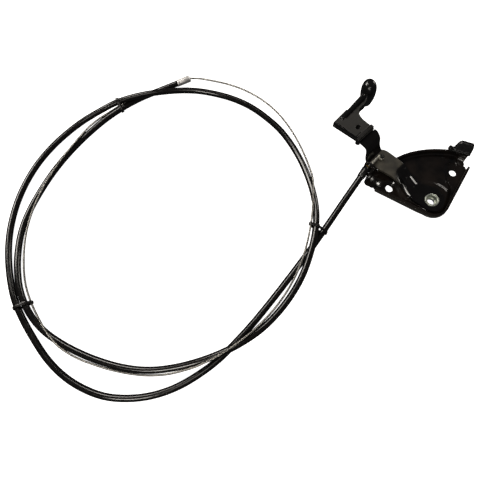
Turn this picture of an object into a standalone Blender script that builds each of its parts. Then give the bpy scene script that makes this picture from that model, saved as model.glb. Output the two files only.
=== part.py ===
# Hood release cable: stamped bracket with a pull lever, and a coiled outer cable with its inner wire.
# Sizes are in millimetres. Shapes are drawn round the pivot axis, with the floor at Z = 0, and then
# placed so that the origin lies on the left bolt pad's seat. The lever frame has L along the cable
# and T along the lever.
import math

import bmesh
import bpy
import numpy as np
from mathutils import Matrix, Vector

MM = 0.001
MERGE = 0.00001

# Bracket sheet
SHEET = 2.0
PAD_TOP = 2.0
FAN_TOP = 4.6
BOSS_TOP = 5.6
BOSS_RADIUS = 20.8
STEP_HALF_WIDTH = 1.7
FLANGE_TOP = 7.5
RIM_TOP = 10.0
RIM_FOOT = 1.0
HOLDER_TOP = 17.5
BOLT_HOLE_RADIUS = 3.5
BOLT_HOLES = [(-35.8, 15.3), (26.5, 32.0)]
ORIGIN_BESIDE_HOLE = 8.0
CORNER_CENTRE = (1.4, 0.0)
CORNER_RADIUS = 15.3
CORNER_ANGLES = (-120.0, -32.0)
SHEET_GRID = 2.8
SHEET_MARGIN = 3.0

# Lever sheet
LEVER_ANGLE = math.radians(45.0)
LEVER_SHEET = 2.4
FIT_GAP = 0.3
LEVER_LOW = BOSS_TOP + FIT_GAP
LEVER_MID = RIM_TOP + 0.6
LEVER_HIGH = 22.2
LEVER_GRID = 2.4
JOG_START = 24.0
JOG_END = 43.0
BEAD_HEIGHT = 1.1
BEAD_HALF_WIDTH = 3.0
BEAD_ENDS = [(1.2, 21.0), (5.6, 37.0)]

# Pivot rivet
PIVOT_HOLE_RADIUS = 6.0
RIVET_BODY_RADIUS = PIVOT_HOLE_RADIUS - FIT_GAP
RIVET_HEAD_RADIUS = 7.2
RIVET_BORE_RADIUS = 4.6
RIVET_LIP_RADIUS = 3.5
RIVET_HEAD = 0.9

# Cable end on the lever. Pin, holder, neck and grip keep their distances from the wire's axis
AXIS_T = 62.3
AXIS_Z = LEVER_MID + LEVER_SHEET + FIT_GAP + 1.5
CRIMP_RADIUS = 1.5
PIN_L = -1.8
PIN_SETBACK = 2.4
PIN_T = AXIS_T - PIN_SETBACK
PIN_SHANK_RADIUS = 1.3
PIN_HEAD_RADIUS = 2.2
PIN_HOLE_RADIUS = PIN_SHANK_RADIUS + FIT_GAP
EYELET_RADIUS = 2.5
NECK_CLEARANCE = 3.3
NECK_RUN = 9.8
NECK_START = AXIS_T + NECK_CLEARANCE
NECK_END = NECK_START + NECK_RUN

# Cable holder, positions along L
HOLDER_SETBACK = 4.8
HOLDER_FACE_T = AXIS_T - HOLDER_SETBACK
HOLDER_WALL = (-25.2, -15.0)
TAB = (-18.6, -16.6)
TAB_REACH = 4.4
TAB_END_T = AXIS_T + TAB_REACH
TAB_FOOT = 8.6
TAB_TOP = HOLDER_TOP + 0.3
NECK_RADIUS = 1.9
SLOT_HALF_WIDTH = NECK_RADIUS + FIT_GAP
COLLAR_RADIUS = 3.6
COLLAR_THICKNESS = 1.4
RING_THICKNESS = 1.2
RING_RADIUS = 3.3
STUB_LENGTH = 1.2

# Outer cable, wire and ferrule
CONDUIT_RADIUS = 3.0
CONDUIT_STEP = 20.0
WIRE_RADIUS = 0.9
WIRE_STEP = 11.0
WIRE_CLEARANCE = CONDUIT_RADIUS + WIRE_RADIUS + 0.6
BOOT_LENGTH = 10.0
BOOT_RADIUS = 3.8
FERRULE_RADIUS = 3.35
FERRULE_LENGTH = 14.2
FERRULE_WAIST = 3.05

# Cable ties
TIE_STRAP = 0.9
TIE_WIDTH = 2.4
TIE_GAP = 0.4

# Stop bumper on the rim, in its own frame: X along the rim from the middle, Y outward
BUMPER_CENTRE = (34.0, 49.6)
BUMPER_ANGLE = math.radians(-19.0)
BUMPER_FOOT = RIM_TOP + FIT_GAP
BUMPER_COLLAR = ((-12.4, 8.4), (-2.6, 2.6), (BUMPER_FOOT, 13.0))
BUMPER_HEAD_BASE = ((-6.6, 8.3), (-2.4, 3.2), 11.2)
BUMPER_HEAD_TOP = ((-3.3, 8.3), (4.0, 6.6), 19.5)
BUMPER_LUG = (-11.2, 0.0, 1.9)
BUMPER_LUG_TOP = 14.6

# Grip, lengths along T measured from the collar's start
GRIP_CLEARANCE = 6.8
COLLAR_START_T = NECK_END + GRIP_CLEARANCE
COLLAR_LENGTH = 4.2
COLLAR_WIDTH = (-11.0, 10.6)
COLLAR_STEP = 0.9
GRIP_BOTTOM = 20.5
GRIP_TOP = 27.0
GRIP_EDGE = 0.7
RIB_TOP = 28.8
RIB_HALF_WIDTH = 2.4
RIB_ENDS = [(-4.6, 28.1), (34.0, 29.8)]
EAR = ((8.0, 13.0), (1.8, 5.6), (22.6, 25.7))
RECESS = [(-1.6, 12.7), (2.0, 10.4)]
RECESS_HALF_WIDTH = 2.2
RECESS_DEPTH = 1.2
KNOB_CENTRE = (39.8, 31.2)
KNOB_RADIUS = 7.7
KNOB_FOOT_RADIUS = 5.8
KNOB_BOTTOM = 9.0
KNOB_TOP = 36.0
KNOB_STRETCH = 1.15
KNOB_LEAN = 0.12
TONGUE = (-6.5, 7.5)
TONGUE_LENGTH = 21.8

# Outer faces of the bracket, counterclockwise from the rim's right end
RIM_PATH = [(40.4, 46.4), (36.0, 49.2), (29.0, 51.8), (21.8, 53.0), (11.0, 53.6), (0.2, 53.0),
            (-12.7, 50.5), (-21.5, 47.4), (-28.4, 43.8), (-37.5, 37.6)]
LEFT_END = [(-51.2, 17.6), (-48.1, 14.9)]
FLANGE_LEFT = (-50.2, 12.7)
FLANGE_RIGHT = (41.4, 34.9)
NOTCH = [(39.6, 37.6), (38.0, 39.4), (38.9, 41.8)]

# The rim's left end and the sheet's corner at the holder, along L and T from the holder's face
RIM_END = [(-9.9, -3.2), (-15.4, -1.6)]
HOLDER_CORNER = [(-14.9, 0.3), (-24.3, 0.5)]

# Middle of the step between the raised centre and the pads
FAN_EDGE = [(-60.0, 32.0), (-52.5, 27.0), (-49.2, 22.2), (-45.4, 20.9), (-40.4, 20.3), (-35.5, 20.8),
            (-31.2, 20.6), (-28.4, 17.0), (-23.6, 4.2), (-12.3, -4.9), (-7.2, -9.2), (-0.5, -11.8),
            (6.5, -10.2), (11.8, -5.0), (17.0, 5.0), (20.2, 14.5), (18.4, 24.2), (19.0, 31.5),
            (21.6, 40.6), (26.0, 43.5), (33.0, 50.0), (40.0, 60.0), (-60.0, 60.0)]

# Plan outline of the lever in its own frame, with the neck's T measured from its start
LEVER_LEFT = [(-11.0, 2.9), (-12.3, 15.9), (-10.4, 29.4), (-9.7, 41.2)]
NECK_LEFT = [(-11.7, -11.8), (-12.5, -5.3), (-14.0, 2.7), (-13.4, 4.6), (-10.4, 7.6), (-9.6, 10.9),
             (-9.2, 15.6)]
NECK_RIGHT = [(11.6, 15.6), (11.4, 12.6), (9.0, 8.8), (5.6, 5.6), (6.2, 1.6), (8.4, -3.6),
              (9.2, -14.8)]
LEVER_RIGHT = [(8.9, 37.9), (8.1, 30.7), (6.9, 21.0), (7.4, 16.4), (10.4, 10.6), (12.6, 5.4),
               (12.8, 0.9), (10.6, -5.0), (6.0, -9.8), (0.0, -11.3), (-6.0, -9.6), (-9.8, -4.4)]

# Plan outline of the grip slab in the lever's frame, T measured from the collar's start
GRIP_OUTLINE = [(-9.0, 1.8), (9.4, 2.2), (11.0, 6.2), (10.2, 9.2), (10.0, 13.7), (11.4, 18.4),
                (13.2, 20.9), (16.0, 22.5), (19.5, 23.0), (24.0, 23.0), (30.0, 24.2), (36.0, 26.8),
                (36.0, 34.3), (28.8, 34.0), (10.0, 32.3), (-12.1, 31.3)]

# Outer cable's route from the bracket to the ferrule, resting on the floor where Z is its radius
CONDUIT_START = (-21.2, AXIS_T - 0.1, AXIS_Z - 0.1)
CONDUIT_ROUTE = [
    (-66.6, 18.4, 13.3), (-75.5, 6.2, 10.8), (-91.0, -15.5, 6.0), (-101.5, -30.5, 5.0),
    (-116.5, -51.0, 3.0), (-143.0, -86.0, 3.0), (-171.0, -120.0, 3.0), (-202.5, -150.5, 3.0),
    (-241.0, -170.5, 3.0), (-284.5, -172.5, 3.0), (-323.5, -153.5, 3.0), (-352.5, -120.5, 3.0),
    (-366.5, -97.5, 4.8), (-373.5, -82.0, 4.2), (-383.5, -39.5, 3.0), (-381.5, 4.0, 3.0),
    (-367.0, 45.5, 3.0), (-341.0, 80.5, 3.2), (-319.0, 97.5, 5.2), (-294.0, 109.5, 9.6),
    (-267.0, 117.5, 10.0), (-240.0, 124.0, 6.3), (-212.5, 125.0, 3.5), (-171.5, 111.0, 3.0),
    (-138.5, 82.0, 3.1), (-124.0, 58.5, 3.7), (-114.0, 32.5, 5.4), (-108.0, 5.5, 7.6),
    (-107.5, -22.5, 10.4), (-113.5, -50.0, 10.2), (-123.5, -75.5, 7.5), (-139.0, -99.0, 6.7),
    (-158.0, -119.0, 8.1), (-181.5, -134.5, 9.7), (-207.0, -145.0, 8.6), (-234.0, -151.0, 5.7),
    (-262.0, -151.5, 3.7), (-304.0, -140.0, 3.0), (-342.0, -118.5, 3.6), (-359.5, -97.0, 5.2),
    (-369.5, -71.5, 5.1), (-373.5, -28.0, 3.0), (-361.5, 14.0, 3.0), (-341.0, 53.0, 3.0),
    (-313.5, 87.0, 3.8), (-296.0, 102.0, 4.8), (-280.0, 114.5, 3.8), (-240.5, 135.0, 3.6)]

# Wire's route from the ferrule to its bare end
WIRE_ROUTE = [
    (-213.5, 142.5, 1.6), (-184.5, 137.0, 0.9), (-158.0, 122.5, 0.9), (-136.5, 102.0, 0.9),
    (-122.0, 76.0, 0.9), (-112.5, 51.0, 1.8), (-110.0, 38.5, 4.4), (-108.0, 24.5, 9.0),
    (-108.0, 10.0, 11.6), (-109.0, -4.5, 12.8), (-110.5, -18.5, 13.2), (-113.5, -32.0, 13.0),
    (-116.5, -45.5, 12.4), (-120.5, -58.5, 11.9), (-126.0, -71.5, 10.8), (-132.5, -84.0, 10.4),
    (-140.0, -95.5, 10.4), (-148.5, -106.0, 10.9), (-157.5, -115.5, 11.9), (-165.5, -123.5, 12.9),
    (-175.5, -131.0, 13.8), (-187.0, -138.5, 13.6), (-199.5, -145.5, 12.0), (-211.5, -150.5, 9.9),
    (-223.5, -153.0, 7.8), (-236.5, -155.5, 5.3), (-250.5, -156.0, 2.0), (-280.5, -152.5, 0.9),
    (-308.5, -143.0, 1.2), (-320.5, -137.0, 3.4), (-331.0, -129.0, 6.4), (-340.5, -119.0, 7.6),
    (-348.5, -108.5, 7.6), (-354.0, -97.5, 5.0), (-363.0, -86.0, 1.2), (-368.0, -72.5, 0.9),
    (-367.5, -59.5, 2.8), (-369.0, -46.5, 5.6), (-369.5, -32.0, 6.0), (-368.0, -17.5, 6.4),
    (-365.0, -4.0, 6.8), (-361.5, 9.5, 7.1), (-356.5, 22.5, 7.2), (-351.0, 35.0, 7.3),
    (-344.5, 47.5, 7.3), (-337.5, 58.5, 7.3), (-330.0, 69.5, 7.2), (-323.0, 81.0, 6.1),
    (-314.5, 92.5, 4.5), (-304.5, 101.5, 3.2), (-297.0, 108.5, 2.6), (-291.5, 113.0, 2.6)]

# Tie, middle in plan, direction along the strands, gap and the lock's angle round the bundle
TIES = [
    ("tie_right", (-105.0, -28.5), (-0.35, -0.94), 0.9, 200.0),
    ("tie_left", (-361.0, -98.0), (-0.36, 0.93), TIE_GAP, 178.0),
    ("tie_top", (-295.6, 106.0), (0.86, 0.50), 0.6, 60.0),
]

LEVER_PIECES = ["lever_arm", "pull_grip", "crimp_tube", "wire_pin"]

LOOKS = {
    "base_plate": ("#141414", 0.22, 0.0),
    "lever_arm": ("#1d1c1a", 0.38, 0.0),
    "pivot_rivet": ("#b4b8ae", 0.30, 1.0),
    "pull_grip": ("#22211f", 0.62, 0.0),
    "stop_bumper": ("#141413", 0.50, 0.0),
    "cable_conduit": ("#1a1918", 0.45, 0.0),
    "conduit_boot": ("#171716", 0.50, 0.0),
    "end_fitting": ("#2b2b2b", 0.35, 0.0),
    "fitting_ring": ("#b89d5a", 0.30, 1.0),
    "wire_stub": ("#a39e92", 0.35, 1.0),
    "crimp_tube": ("#c9c7bf", 0.28, 1.0),
    "wire_pin": ("#3a3a38", 0.35, 1.0),
    "end_ferrule": ("#d4d2cc", 0.25, 1.0),
    "inner_wire": ("#8c8679", 0.40, 1.0),
    "tie_right": ("#161616", 0.45, 0.0),
    "tie_left": ("#161616", 0.45, 0.0),
    "tie_top": ("#161616", 0.45, 0.0),
}


def linear_channel(value):
    if value <= 0.04045:
        return value / 12.92
    return ((value + 0.055) / 1.055) ** 2.4


def linear_colour(code):
    parts = [int(code[i:i + 2], 16) / 255.0 for i in (1, 3, 5)]
    return tuple(linear_channel(part) for part in parts) + (1.0,)


def give_look(obj):
    code, roughness, metallic = LOOKS[obj.name]
    material = bpy.data.materials.new(obj.name)
    material.use_nodes = True
    shader = material.node_tree.nodes["Principled BSDF"]
    shader.inputs["Base Color"].default_value = linear_colour(code)
    shader.inputs["Roughness"].default_value = roughness
    shader.inputs["Metallic"].default_value = metallic
    material.diffuse_color = linear_colour(code)
    obj.data.materials.clear()
    obj.data.materials.append(material)


def lever_to_world(l, t):
    c = math.cos(LEVER_ANGLE)
    s = math.sin(LEVER_ANGLE)
    return (c * l - s * t, s * l + c * t)


def set_off(points, start):
    """Adds a start to the T of points given from there."""
    return [(l, start + t) for l, t in points]


def in_metres(points):
    return [tuple(value * MM for value in point) for point in points]


def add_object(name, data, collection):
    obj = bpy.data.objects.new(name, data)
    collection.objects.link(obj)
    return obj


def mesh_of(obj, merge=False):
    """Turns an object with its modifiers into a plain mesh object in world space."""
    depsgraph = bpy.context.evaluated_depsgraph_get()
    depsgraph.update()
    evaluated = obj.evaluated_get(depsgraph)
    mesh = bpy.data.meshes.new_from_object(evaluated)
    mesh.transform(obj.matrix_world)
    bm = bmesh.new()
    bm.from_mesh(mesh)
    if merge:
        bmesh.ops.remove_doubles(bm, verts=bm.verts, dist=MERGE)
    bmesh.ops.recalc_face_normals(bm, faces=bm.faces)
    if bm.calc_volume(signed=True) < 0.0:
        bmesh.ops.reverse_faces(bm, faces=bm.faces)
    bm.to_mesh(mesh)
    bm.free()
    name = obj.name
    collection = obj.users_collection[0]
    bpy.data.objects.remove(obj)
    result = add_object(name, mesh, collection)
    result.name = name
    return result


def flat_outline(name, loops, z0, z1, collection):
    """Extrudes closed plan loops, in millimetres, from z0 to z1."""
    curve = bpy.data.curves.new(name, "CURVE")
    curve.dimensions = "2D"
    curve.fill_mode = "BOTH"
    curve.extrude = (z1 - z0) / 2.0 * MM
    for loop in loops:
        spline = curve.splines.new("POLY")
        spline.points.add(len(loop) - 1)
        for point, (x, y) in zip(spline.points, loop):
            point.co = (x * MM, y * MM, 0.0, 1.0)
        spline.use_cyclic_u = True
    obj = add_object(name, curve, collection)
    obj.location.z = (z0 + z1) / 2.0 * MM
    bpy.context.view_layer.update()
    return mesh_of(obj, merge=True)


def block(name, x, y, z, collection):
    """A box between the given pairs of limits, in millimetres."""
    bm = bmesh.new()
    bmesh.ops.create_cube(bm, size=1.0)
    sizes = [(high - low) * MM for low, high in (x, y, z)]
    centre = [(high + low) / 2.0 * MM for low, high in (x, y, z)]
    bmesh.ops.scale(bm, vec=sizes, verts=bm.verts)
    bmesh.ops.translate(bm, vec=centre, verts=bm.verts)
    mesh = bpy.data.meshes.new(name)
    bm.to_mesh(mesh)
    bm.free()
    return add_object(name, mesh, collection)


def rod(name, x, y, z, radius, collection, segments=32):
    """An upright cylinder between the two heights, in millimetres."""
    bm = bmesh.new()
    depth = (z[1] - z[0]) * MM
    bmesh.ops.create_cone(bm, cap_ends=True, segments=segments, radius1=radius * MM,
                          radius2=radius * MM, depth=depth)
    bmesh.ops.translate(bm, vec=(x * MM, y * MM, (z[0] + z[1]) / 2.0 * MM), verts=bm.verts)
    mesh = bpy.data.meshes.new(name)
    bm.to_mesh(mesh)
    bm.free()
    return add_object(name, mesh, collection)


def turned(name, profile, collection, segments=36, closed=False):
    """Turns a profile of (radius, height) pairs, in millimetres, round local Z."""
    mesh = bpy.data.meshes.new(name)
    bm = bmesh.new()
    verts = [bm.verts.new((radius * MM, 0.0, height * MM)) for radius, height in profile]
    for first, second in zip(verts, verts[1:]):
        bm.edges.new((first, second))
    if closed:
        bm.edges.new((verts[-1], verts[0]))
    bm.to_mesh(mesh)
    bm.free()
    obj = add_object(name, mesh, collection)
    screw = obj.modifiers.new("Turn", "SCREW")
    screw.axis = "Z"
    screw.steps = segments
    screw.render_steps = segments
    screw.use_merge_vertices = True
    screw.merge_threshold = MERGE
    screw.use_smooth_shade = False
    return mesh_of(obj, merge=True)


def point_along(obj, origin, direction):
    """Lays an object's local Z along a direction and moves it to an origin, in millimetres."""
    turn = Vector(direction).to_track_quat("Z", "Y").to_matrix().to_4x4()
    place = Matrix.Translation(Vector(in_metres([origin])[0]))
    obj.data.transform(place @ turn)


def turn_to_lever(obj):
    obj.data.transform(Matrix.Rotation(LEVER_ANGLE, 4, "Z"))


def join_solid(obj, other, operation, cutters):
    """Applies one exact Boolean and returns the result as a plain mesh object."""
    for collection in other.users_collection:
        collection.objects.unlink(other)
    cutters.objects.link(other)
    other.hide_render = True
    other.display_type = "WIRE"
    modifier = obj.modifiers.new(operation, "BOOLEAN")
    modifier.operation = operation
    modifier.solver = "EXACT"
    modifier.object = other
    return mesh_of(obj)


def round_edges(obj, width, segments, angle=30.0):
    modifier = obj.modifiers.new("Rounding", "BEVEL")
    modifier.width = width * MM
    modifier.segments = segments
    modifier.limit_method = "ANGLE"
    modifier.angle_limit = math.radians(angle)
    return mesh_of(obj)


def offset_path(path, distance):
    """Shifts an open path to its left side by a distance."""
    points = [Vector(point) for point in path]
    moved = []
    for i, point in enumerate(points):
        before = points[max(i - 1, 0)]
        after = points[min(i + 1, len(points) - 1)]
        normals = []
        for a, b in ((before, point), (point, after)):
            if (b - a).length > 0.0:
                step = (b - a).normalized()
                normals.append(Vector((-step.y, step.x)))
        mean = sum(normals, Vector((0.0, 0.0))) / len(normals)
        moved.append(tuple(point + mean * (distance / mean.length_squared)))
    return moved


def smooth_step(value):
    value = min(max(value, 0.0), 1.0)
    return value * value * (3.0 - 2.0 * value)


def distance_to_line(x, y, a, b):
    dx = b[0] - a[0]
    dy = b[1] - a[1]
    share = ((x - a[0]) * dx + (y - a[1]) * dy) / (dx * dx + dy * dy)
    share = min(max(share, 0.0), 1.0)
    return math.hypot(x - a[0] - share * dx, y - a[1] - share * dy)


def inside_distance(x, y, outline):
    """Distance to a closed outline, positive inside it."""
    nearest = 1e9
    inside = False
    for a, b in zip(outline, outline[1:] + outline[:1]):
        nearest = min(nearest, distance_to_line(x, y, a, b))
        if (a[1] > y) != (b[1] > y):
            if x < (b[0] - a[0]) * (y - a[1]) / (b[1] - a[1]) + a[0]:
                inside = not inside
    return nearest if inside else -nearest


def plate_height(x, y):
    """Height of the bracket sheet's upper face."""
    step = inside_distance(x, y, FAN_EDGE) / STEP_HALF_WIDTH / 2.0 + 0.5
    height = PAD_TOP + (FAN_TOP - PAD_TOP) * smooth_step(step)
    boss = (BOSS_RADIUS - math.hypot(x, y)) / 2.4 + 0.5
    raised = (BOSS_TOP - FAN_TOP) * smooth_step(boss) * smooth_step(step)
    return height + raised


def lever_height(l, t):
    """Height of the lever sheet's lower face in the lever's frame."""
    jog_end = JOG_END - 0.11 * min(l, 0.0) ** 2
    jog_start = min(JOG_START, jog_end - 14.0)
    height = LEVER_LOW + (LEVER_MID - LEVER_LOW) * smooth_step((t - jog_start) / (jog_end - jog_start))
    neck = (t - NECK_START) / (NECK_END - NECK_START)
    height += (LEVER_HIGH - LEVER_MID) * smooth_step(neck)
    bead = 1.0 - distance_to_line(l, t, BEAD_ENDS[0], BEAD_ENDS[1]) / BEAD_HALF_WIDTH
    return height + BEAD_HEIGHT * smooth_step(bead)


def pressed_sheet(name, outline, spacing, height, thickness, offset, collection):
    """A sheet of even thickness over an outline's reach, with its face at the given height."""
    x = (min(p[0] for p in outline) - SHEET_MARGIN, max(p[0] for p in outline) + SHEET_MARGIN)
    y = (min(p[1] for p in outline) - SHEET_MARGIN, max(p[1] for p in outline) + SHEET_MARGIN)
    nx = int(round((x[1] - x[0]) / spacing))
    ny = int(round((y[1] - y[0]) / spacing))
    bm = bmesh.new()
    bmesh.ops.create_grid(bm, x_segments=nx, y_segments=ny, size=0.5)
    for vert in bm.verts:
        px = x[0] + (vert.co.x + 0.5) * (x[1] - x[0])
        py = y[0] + (vert.co.y + 0.5) * (y[1] - y[0])
        vert.co = (px * MM, py * MM, height(px, py) * MM)
    bmesh.ops.triangulate(bm, faces=bm.faces)
    mesh = bpy.data.meshes.new(name)
    bm.to_mesh(mesh)
    bm.free()
    obj = add_object(name, mesh, collection)
    solid = obj.modifiers.new("Thickness", "SOLIDIFY")
    solid.thickness = thickness * MM
    solid.offset = offset
    solid.use_even_offset = True
    solid.use_quality_normals = True
    return mesh_of(obj)


def corner_arc(steps):
    arc = []
    for i in range(steps + 1):
        share = i / steps
        angle = math.radians(CORNER_ANGLES[0] + share * (CORNER_ANGLES[1] - CORNER_ANGLES[0]))
        arc.append((CORNER_CENTRE[0] + CORNER_RADIUS * math.cos(angle),
                    CORNER_CENTRE[1] + CORNER_RADIUS * math.sin(angle)))
    return arc


def inset_path(path, distance, pull_back):
    """Shifts a path to its left and draws both ends back along it."""
    points = [Vector(point) for point in offset_path(path, distance)]
    points[0] += (points[1] - points[0]).normalized() * pull_back
    points[-1] += (points[-2] - points[-1]).normalized() * pull_back
    return [tuple(point) for point in points]


def wall_loop(path, thickness):
    return path + offset_path(path, thickness)[::-1]


def build_base_plate(parts, cutters):
    flange_path = [FLANGE_LEFT] + corner_arc(10) + [FLANGE_RIGHT]
    rim_path = RIM_PATH + [lever_to_world(l, t) for l, t in set_off(RIM_END, HOLDER_FACE_T)]
    corner = [lever_to_world(l, t) for l, t in set_off(HOLDER_CORNER, HOLDER_FACE_T)]
    middle = SHEET / 2.0
    trim = inset_path(rim_path, middle, 0.6) + corner + LEFT_END
    trim += inset_path(flange_path, middle, 0.6) + NOTCH
    plate = pressed_sheet("base_plate", trim, SHEET_GRID, plate_height, SHEET, -1.0, parts)
    prism = flat_outline("plate_trim", [trim], -4.0, 12.0, cutters)
    plate = join_solid(plate, prism, "INTERSECT", cutters)
    flange = flat_outline("plate_flange", [wall_loop(flange_path, SHEET)], 0.0, FLANGE_TOP, cutters)
    plate = join_solid(plate, flange, "UNION", cutters)
    rim = flat_outline("plate_rim", [wall_loop(rim_path, SHEET)], RIM_FOOT, RIM_TOP, cutters)
    plate = join_solid(plate, rim, "UNION", cutters)
    holder = block("plate_holder", HOLDER_WALL, (HOLDER_FACE_T - SHEET, HOLDER_FACE_T),
                   (0.1, HOLDER_TOP), cutters)
    turn_to_lever(holder)
    plate = join_solid(plate, holder, "UNION", cutters)
    tab = block("plate_tab", TAB, (HOLDER_FACE_T - SHEET / 2.0, TAB_END_T), (TAB_FOOT, TAB_TOP), cutters)
    slot = block("plate_slot", (TAB[0] - 1.0, TAB[1] + 1.0),
                 (AXIS_T - SLOT_HALF_WIDTH, AXIS_T + SLOT_HALF_WIDTH), (AXIS_Z, TAB_TOP + 1.0), cutters)
    seat = rod("plate_slot_end", 0.0, 0.0, (-2.0, 2.0), SLOT_HALF_WIDTH, cutters)
    point_along(seat, ((TAB[0] + TAB[1]) / 2.0, AXIS_T, AXIS_Z), (1.0, 0.0, 0.0))
    tab = join_solid(tab, slot, "DIFFERENCE", cutters)
    tab = join_solid(tab, seat, "DIFFERENCE", cutters)
    turn_to_lever(tab)
    plate = join_solid(plate, tab, "UNION", cutters)
    for i, (x, y) in enumerate(BOLT_HOLES):
        hole = rod("plate_bolt_hole_%d" % (i + 1), x, y, (-2.0, 6.0), BOLT_HOLE_RADIUS, cutters)
        plate = join_solid(plate, hole, "DIFFERENCE", cutters)
    pivot = rod("plate_pivot_hole", 0.0, 0.0, (-2.0, 9.0), PIVOT_HOLE_RADIUS, cutters, 36)
    return join_solid(plate, pivot, "DIFFERENCE", cutters)


def build_lever(parts, cutters):
    shoulder = COLLAR_START_T - FIT_GAP
    tongue_end = COLLAR_START_T + TONGUE_LENGTH
    tongue = [(TONGUE[0], shoulder), (TONGUE[0], tongue_end), (TONGUE[1], tongue_end), (TONGUE[1], shoulder)]
    left = LEVER_LEFT + set_off(NECK_LEFT, NECK_START) + [(NECK_LEFT[-1][0], shoulder)]
    right = [(NECK_RIGHT[0][0], shoulder)] + set_off(NECK_RIGHT, NECK_START) + LEVER_RIGHT
    outline = left + tongue + right
    lever = pressed_sheet("lever_arm", outline, LEVER_GRID, lever_height, LEVER_SHEET, 1.0, parts)
    prism = flat_outline("lever_trim", [outline], 2.0, 30.0, cutters)
    lever = join_solid(lever, prism, "INTERSECT", cutters)
    pivot = rod("lever_pivot_hole", 0.0, 0.0, (2.0, 12.0), PIVOT_HOLE_RADIUS, cutters, 36)
    lever = join_solid(lever, pivot, "DIFFERENCE", cutters)
    pin = rod("lever_pin_hole", PIN_L, PIN_T, (6.0, 16.0), PIN_HOLE_RADIUS, cutters, 20)
    lever = join_solid(lever, pin, "DIFFERENCE", cutters)
    turn_to_lever(lever)
    return lever


def build_rivet(parts):
    head_foot = LEVER_LOW + LEVER_SHEET + FIT_GAP
    top = head_foot + RIVET_HEAD
    foot = BOSS_TOP - SHEET - FIT_GAP
    bottom = foot - RIVET_HEAD
    lip = 4.9
    profile = [(RIVET_LIP_RADIUS, bottom), (RIVET_HEAD_RADIUS - 0.4, bottom),
               (RIVET_HEAD_RADIUS - 0.2, foot), (RIVET_BODY_RADIUS, foot),
               (RIVET_BODY_RADIUS, head_foot), (RIVET_HEAD_RADIUS, head_foot),
               (RIVET_HEAD_RADIUS, top - 0.4), (RIVET_HEAD_RADIUS - 0.5, top),
               (RIVET_BORE_RADIUS + 0.4, top), (RIVET_BORE_RADIUS, top - 0.4),
               (RIVET_BORE_RADIUS, lip + 0.4), (RIVET_BORE_RADIUS - 0.4, lip),
               (RIVET_LIP_RADIUS, lip)]
    return turned("pivot_rivet", profile, parts, 40, closed=True)


def build_bumper(parts, cutters):
    collar = round_edges(block("stop_bumper", *BUMPER_COLLAR, parts), 0.9, 2)
    bm = bmesh.new()
    bmesh.ops.create_cube(bm, size=1.0)
    for vert in bm.verts:
        x, y, z = BUMPER_HEAD_TOP if vert.co.z > 0.0 else BUMPER_HEAD_BASE
        vert.co = (x[vert.co.x > 0.0] * MM, y[vert.co.y > 0.0] * MM, z * MM)
    mesh = bpy.data.meshes.new("bumper_head")
    bm.to_mesh(mesh)
    bm.free()
    head = round_edges(add_object("bumper_head", mesh, cutters), 0.8, 2)
    bumper = join_solid(collar, head, "UNION", cutters)
    lug_x, lug_y, lug_radius = BUMPER_LUG
    lug = rod("bumper_lug", lug_x, lug_y, (BUMPER_FOOT + 0.6, BUMPER_LUG_TOP), lug_radius, cutters, 24)
    bumper = join_solid(bumper, round_edges(lug, 0.6, 2), "UNION", cutters)
    bumper.data.transform(Matrix.Rotation(BUMPER_ANGLE, 4, "Z"))
    bumper.data.transform(Matrix.Translation(Vector(in_metres([BUMPER_CENTRE + (0.0,)])[0])))
    return bumper


def build_knob(cutters):
    """The finger knob: a pear-shaped turning, stretched and leaned along the bracket's Y."""
    middle = (KNOB_BOTTOM + KNOB_TOP) / 2.0
    half = (KNOB_TOP - KNOB_BOTTOM) / 2.0
    profile = [(0.0, KNOB_TOP)]
    for i in range(1, 14):
        angle = math.pi / 2.0 * (1.0 - i / 7.0)
        share = smooth_step(0.5 + 0.5 * math.sin(angle))
        radius = KNOB_FOOT_RADIUS + (KNOB_RADIUS - KNOB_FOOT_RADIUS) * share
        profile.append((radius * math.cos(angle) ** 0.55, middle + half * math.sin(angle)))
    profile.append((0.0, KNOB_BOTTOM))
    knob = turned("grip_knob", profile, cutters, 28)
    for vert in knob.data.vertices:
        vert.co.y = vert.co.y * KNOB_STRETCH + KNOB_LEAN * (vert.co.z - middle * MM)
    knob.data.transform(Matrix.Rotation(-LEVER_ANGLE, 4, "Z"))
    place = (KNOB_CENTRE[0], COLLAR_START_T + KNOB_CENTRE[1], 0.0)
    knob.data.transform(Matrix.Translation(Vector(in_metres([place])[0])))
    return knob


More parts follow.
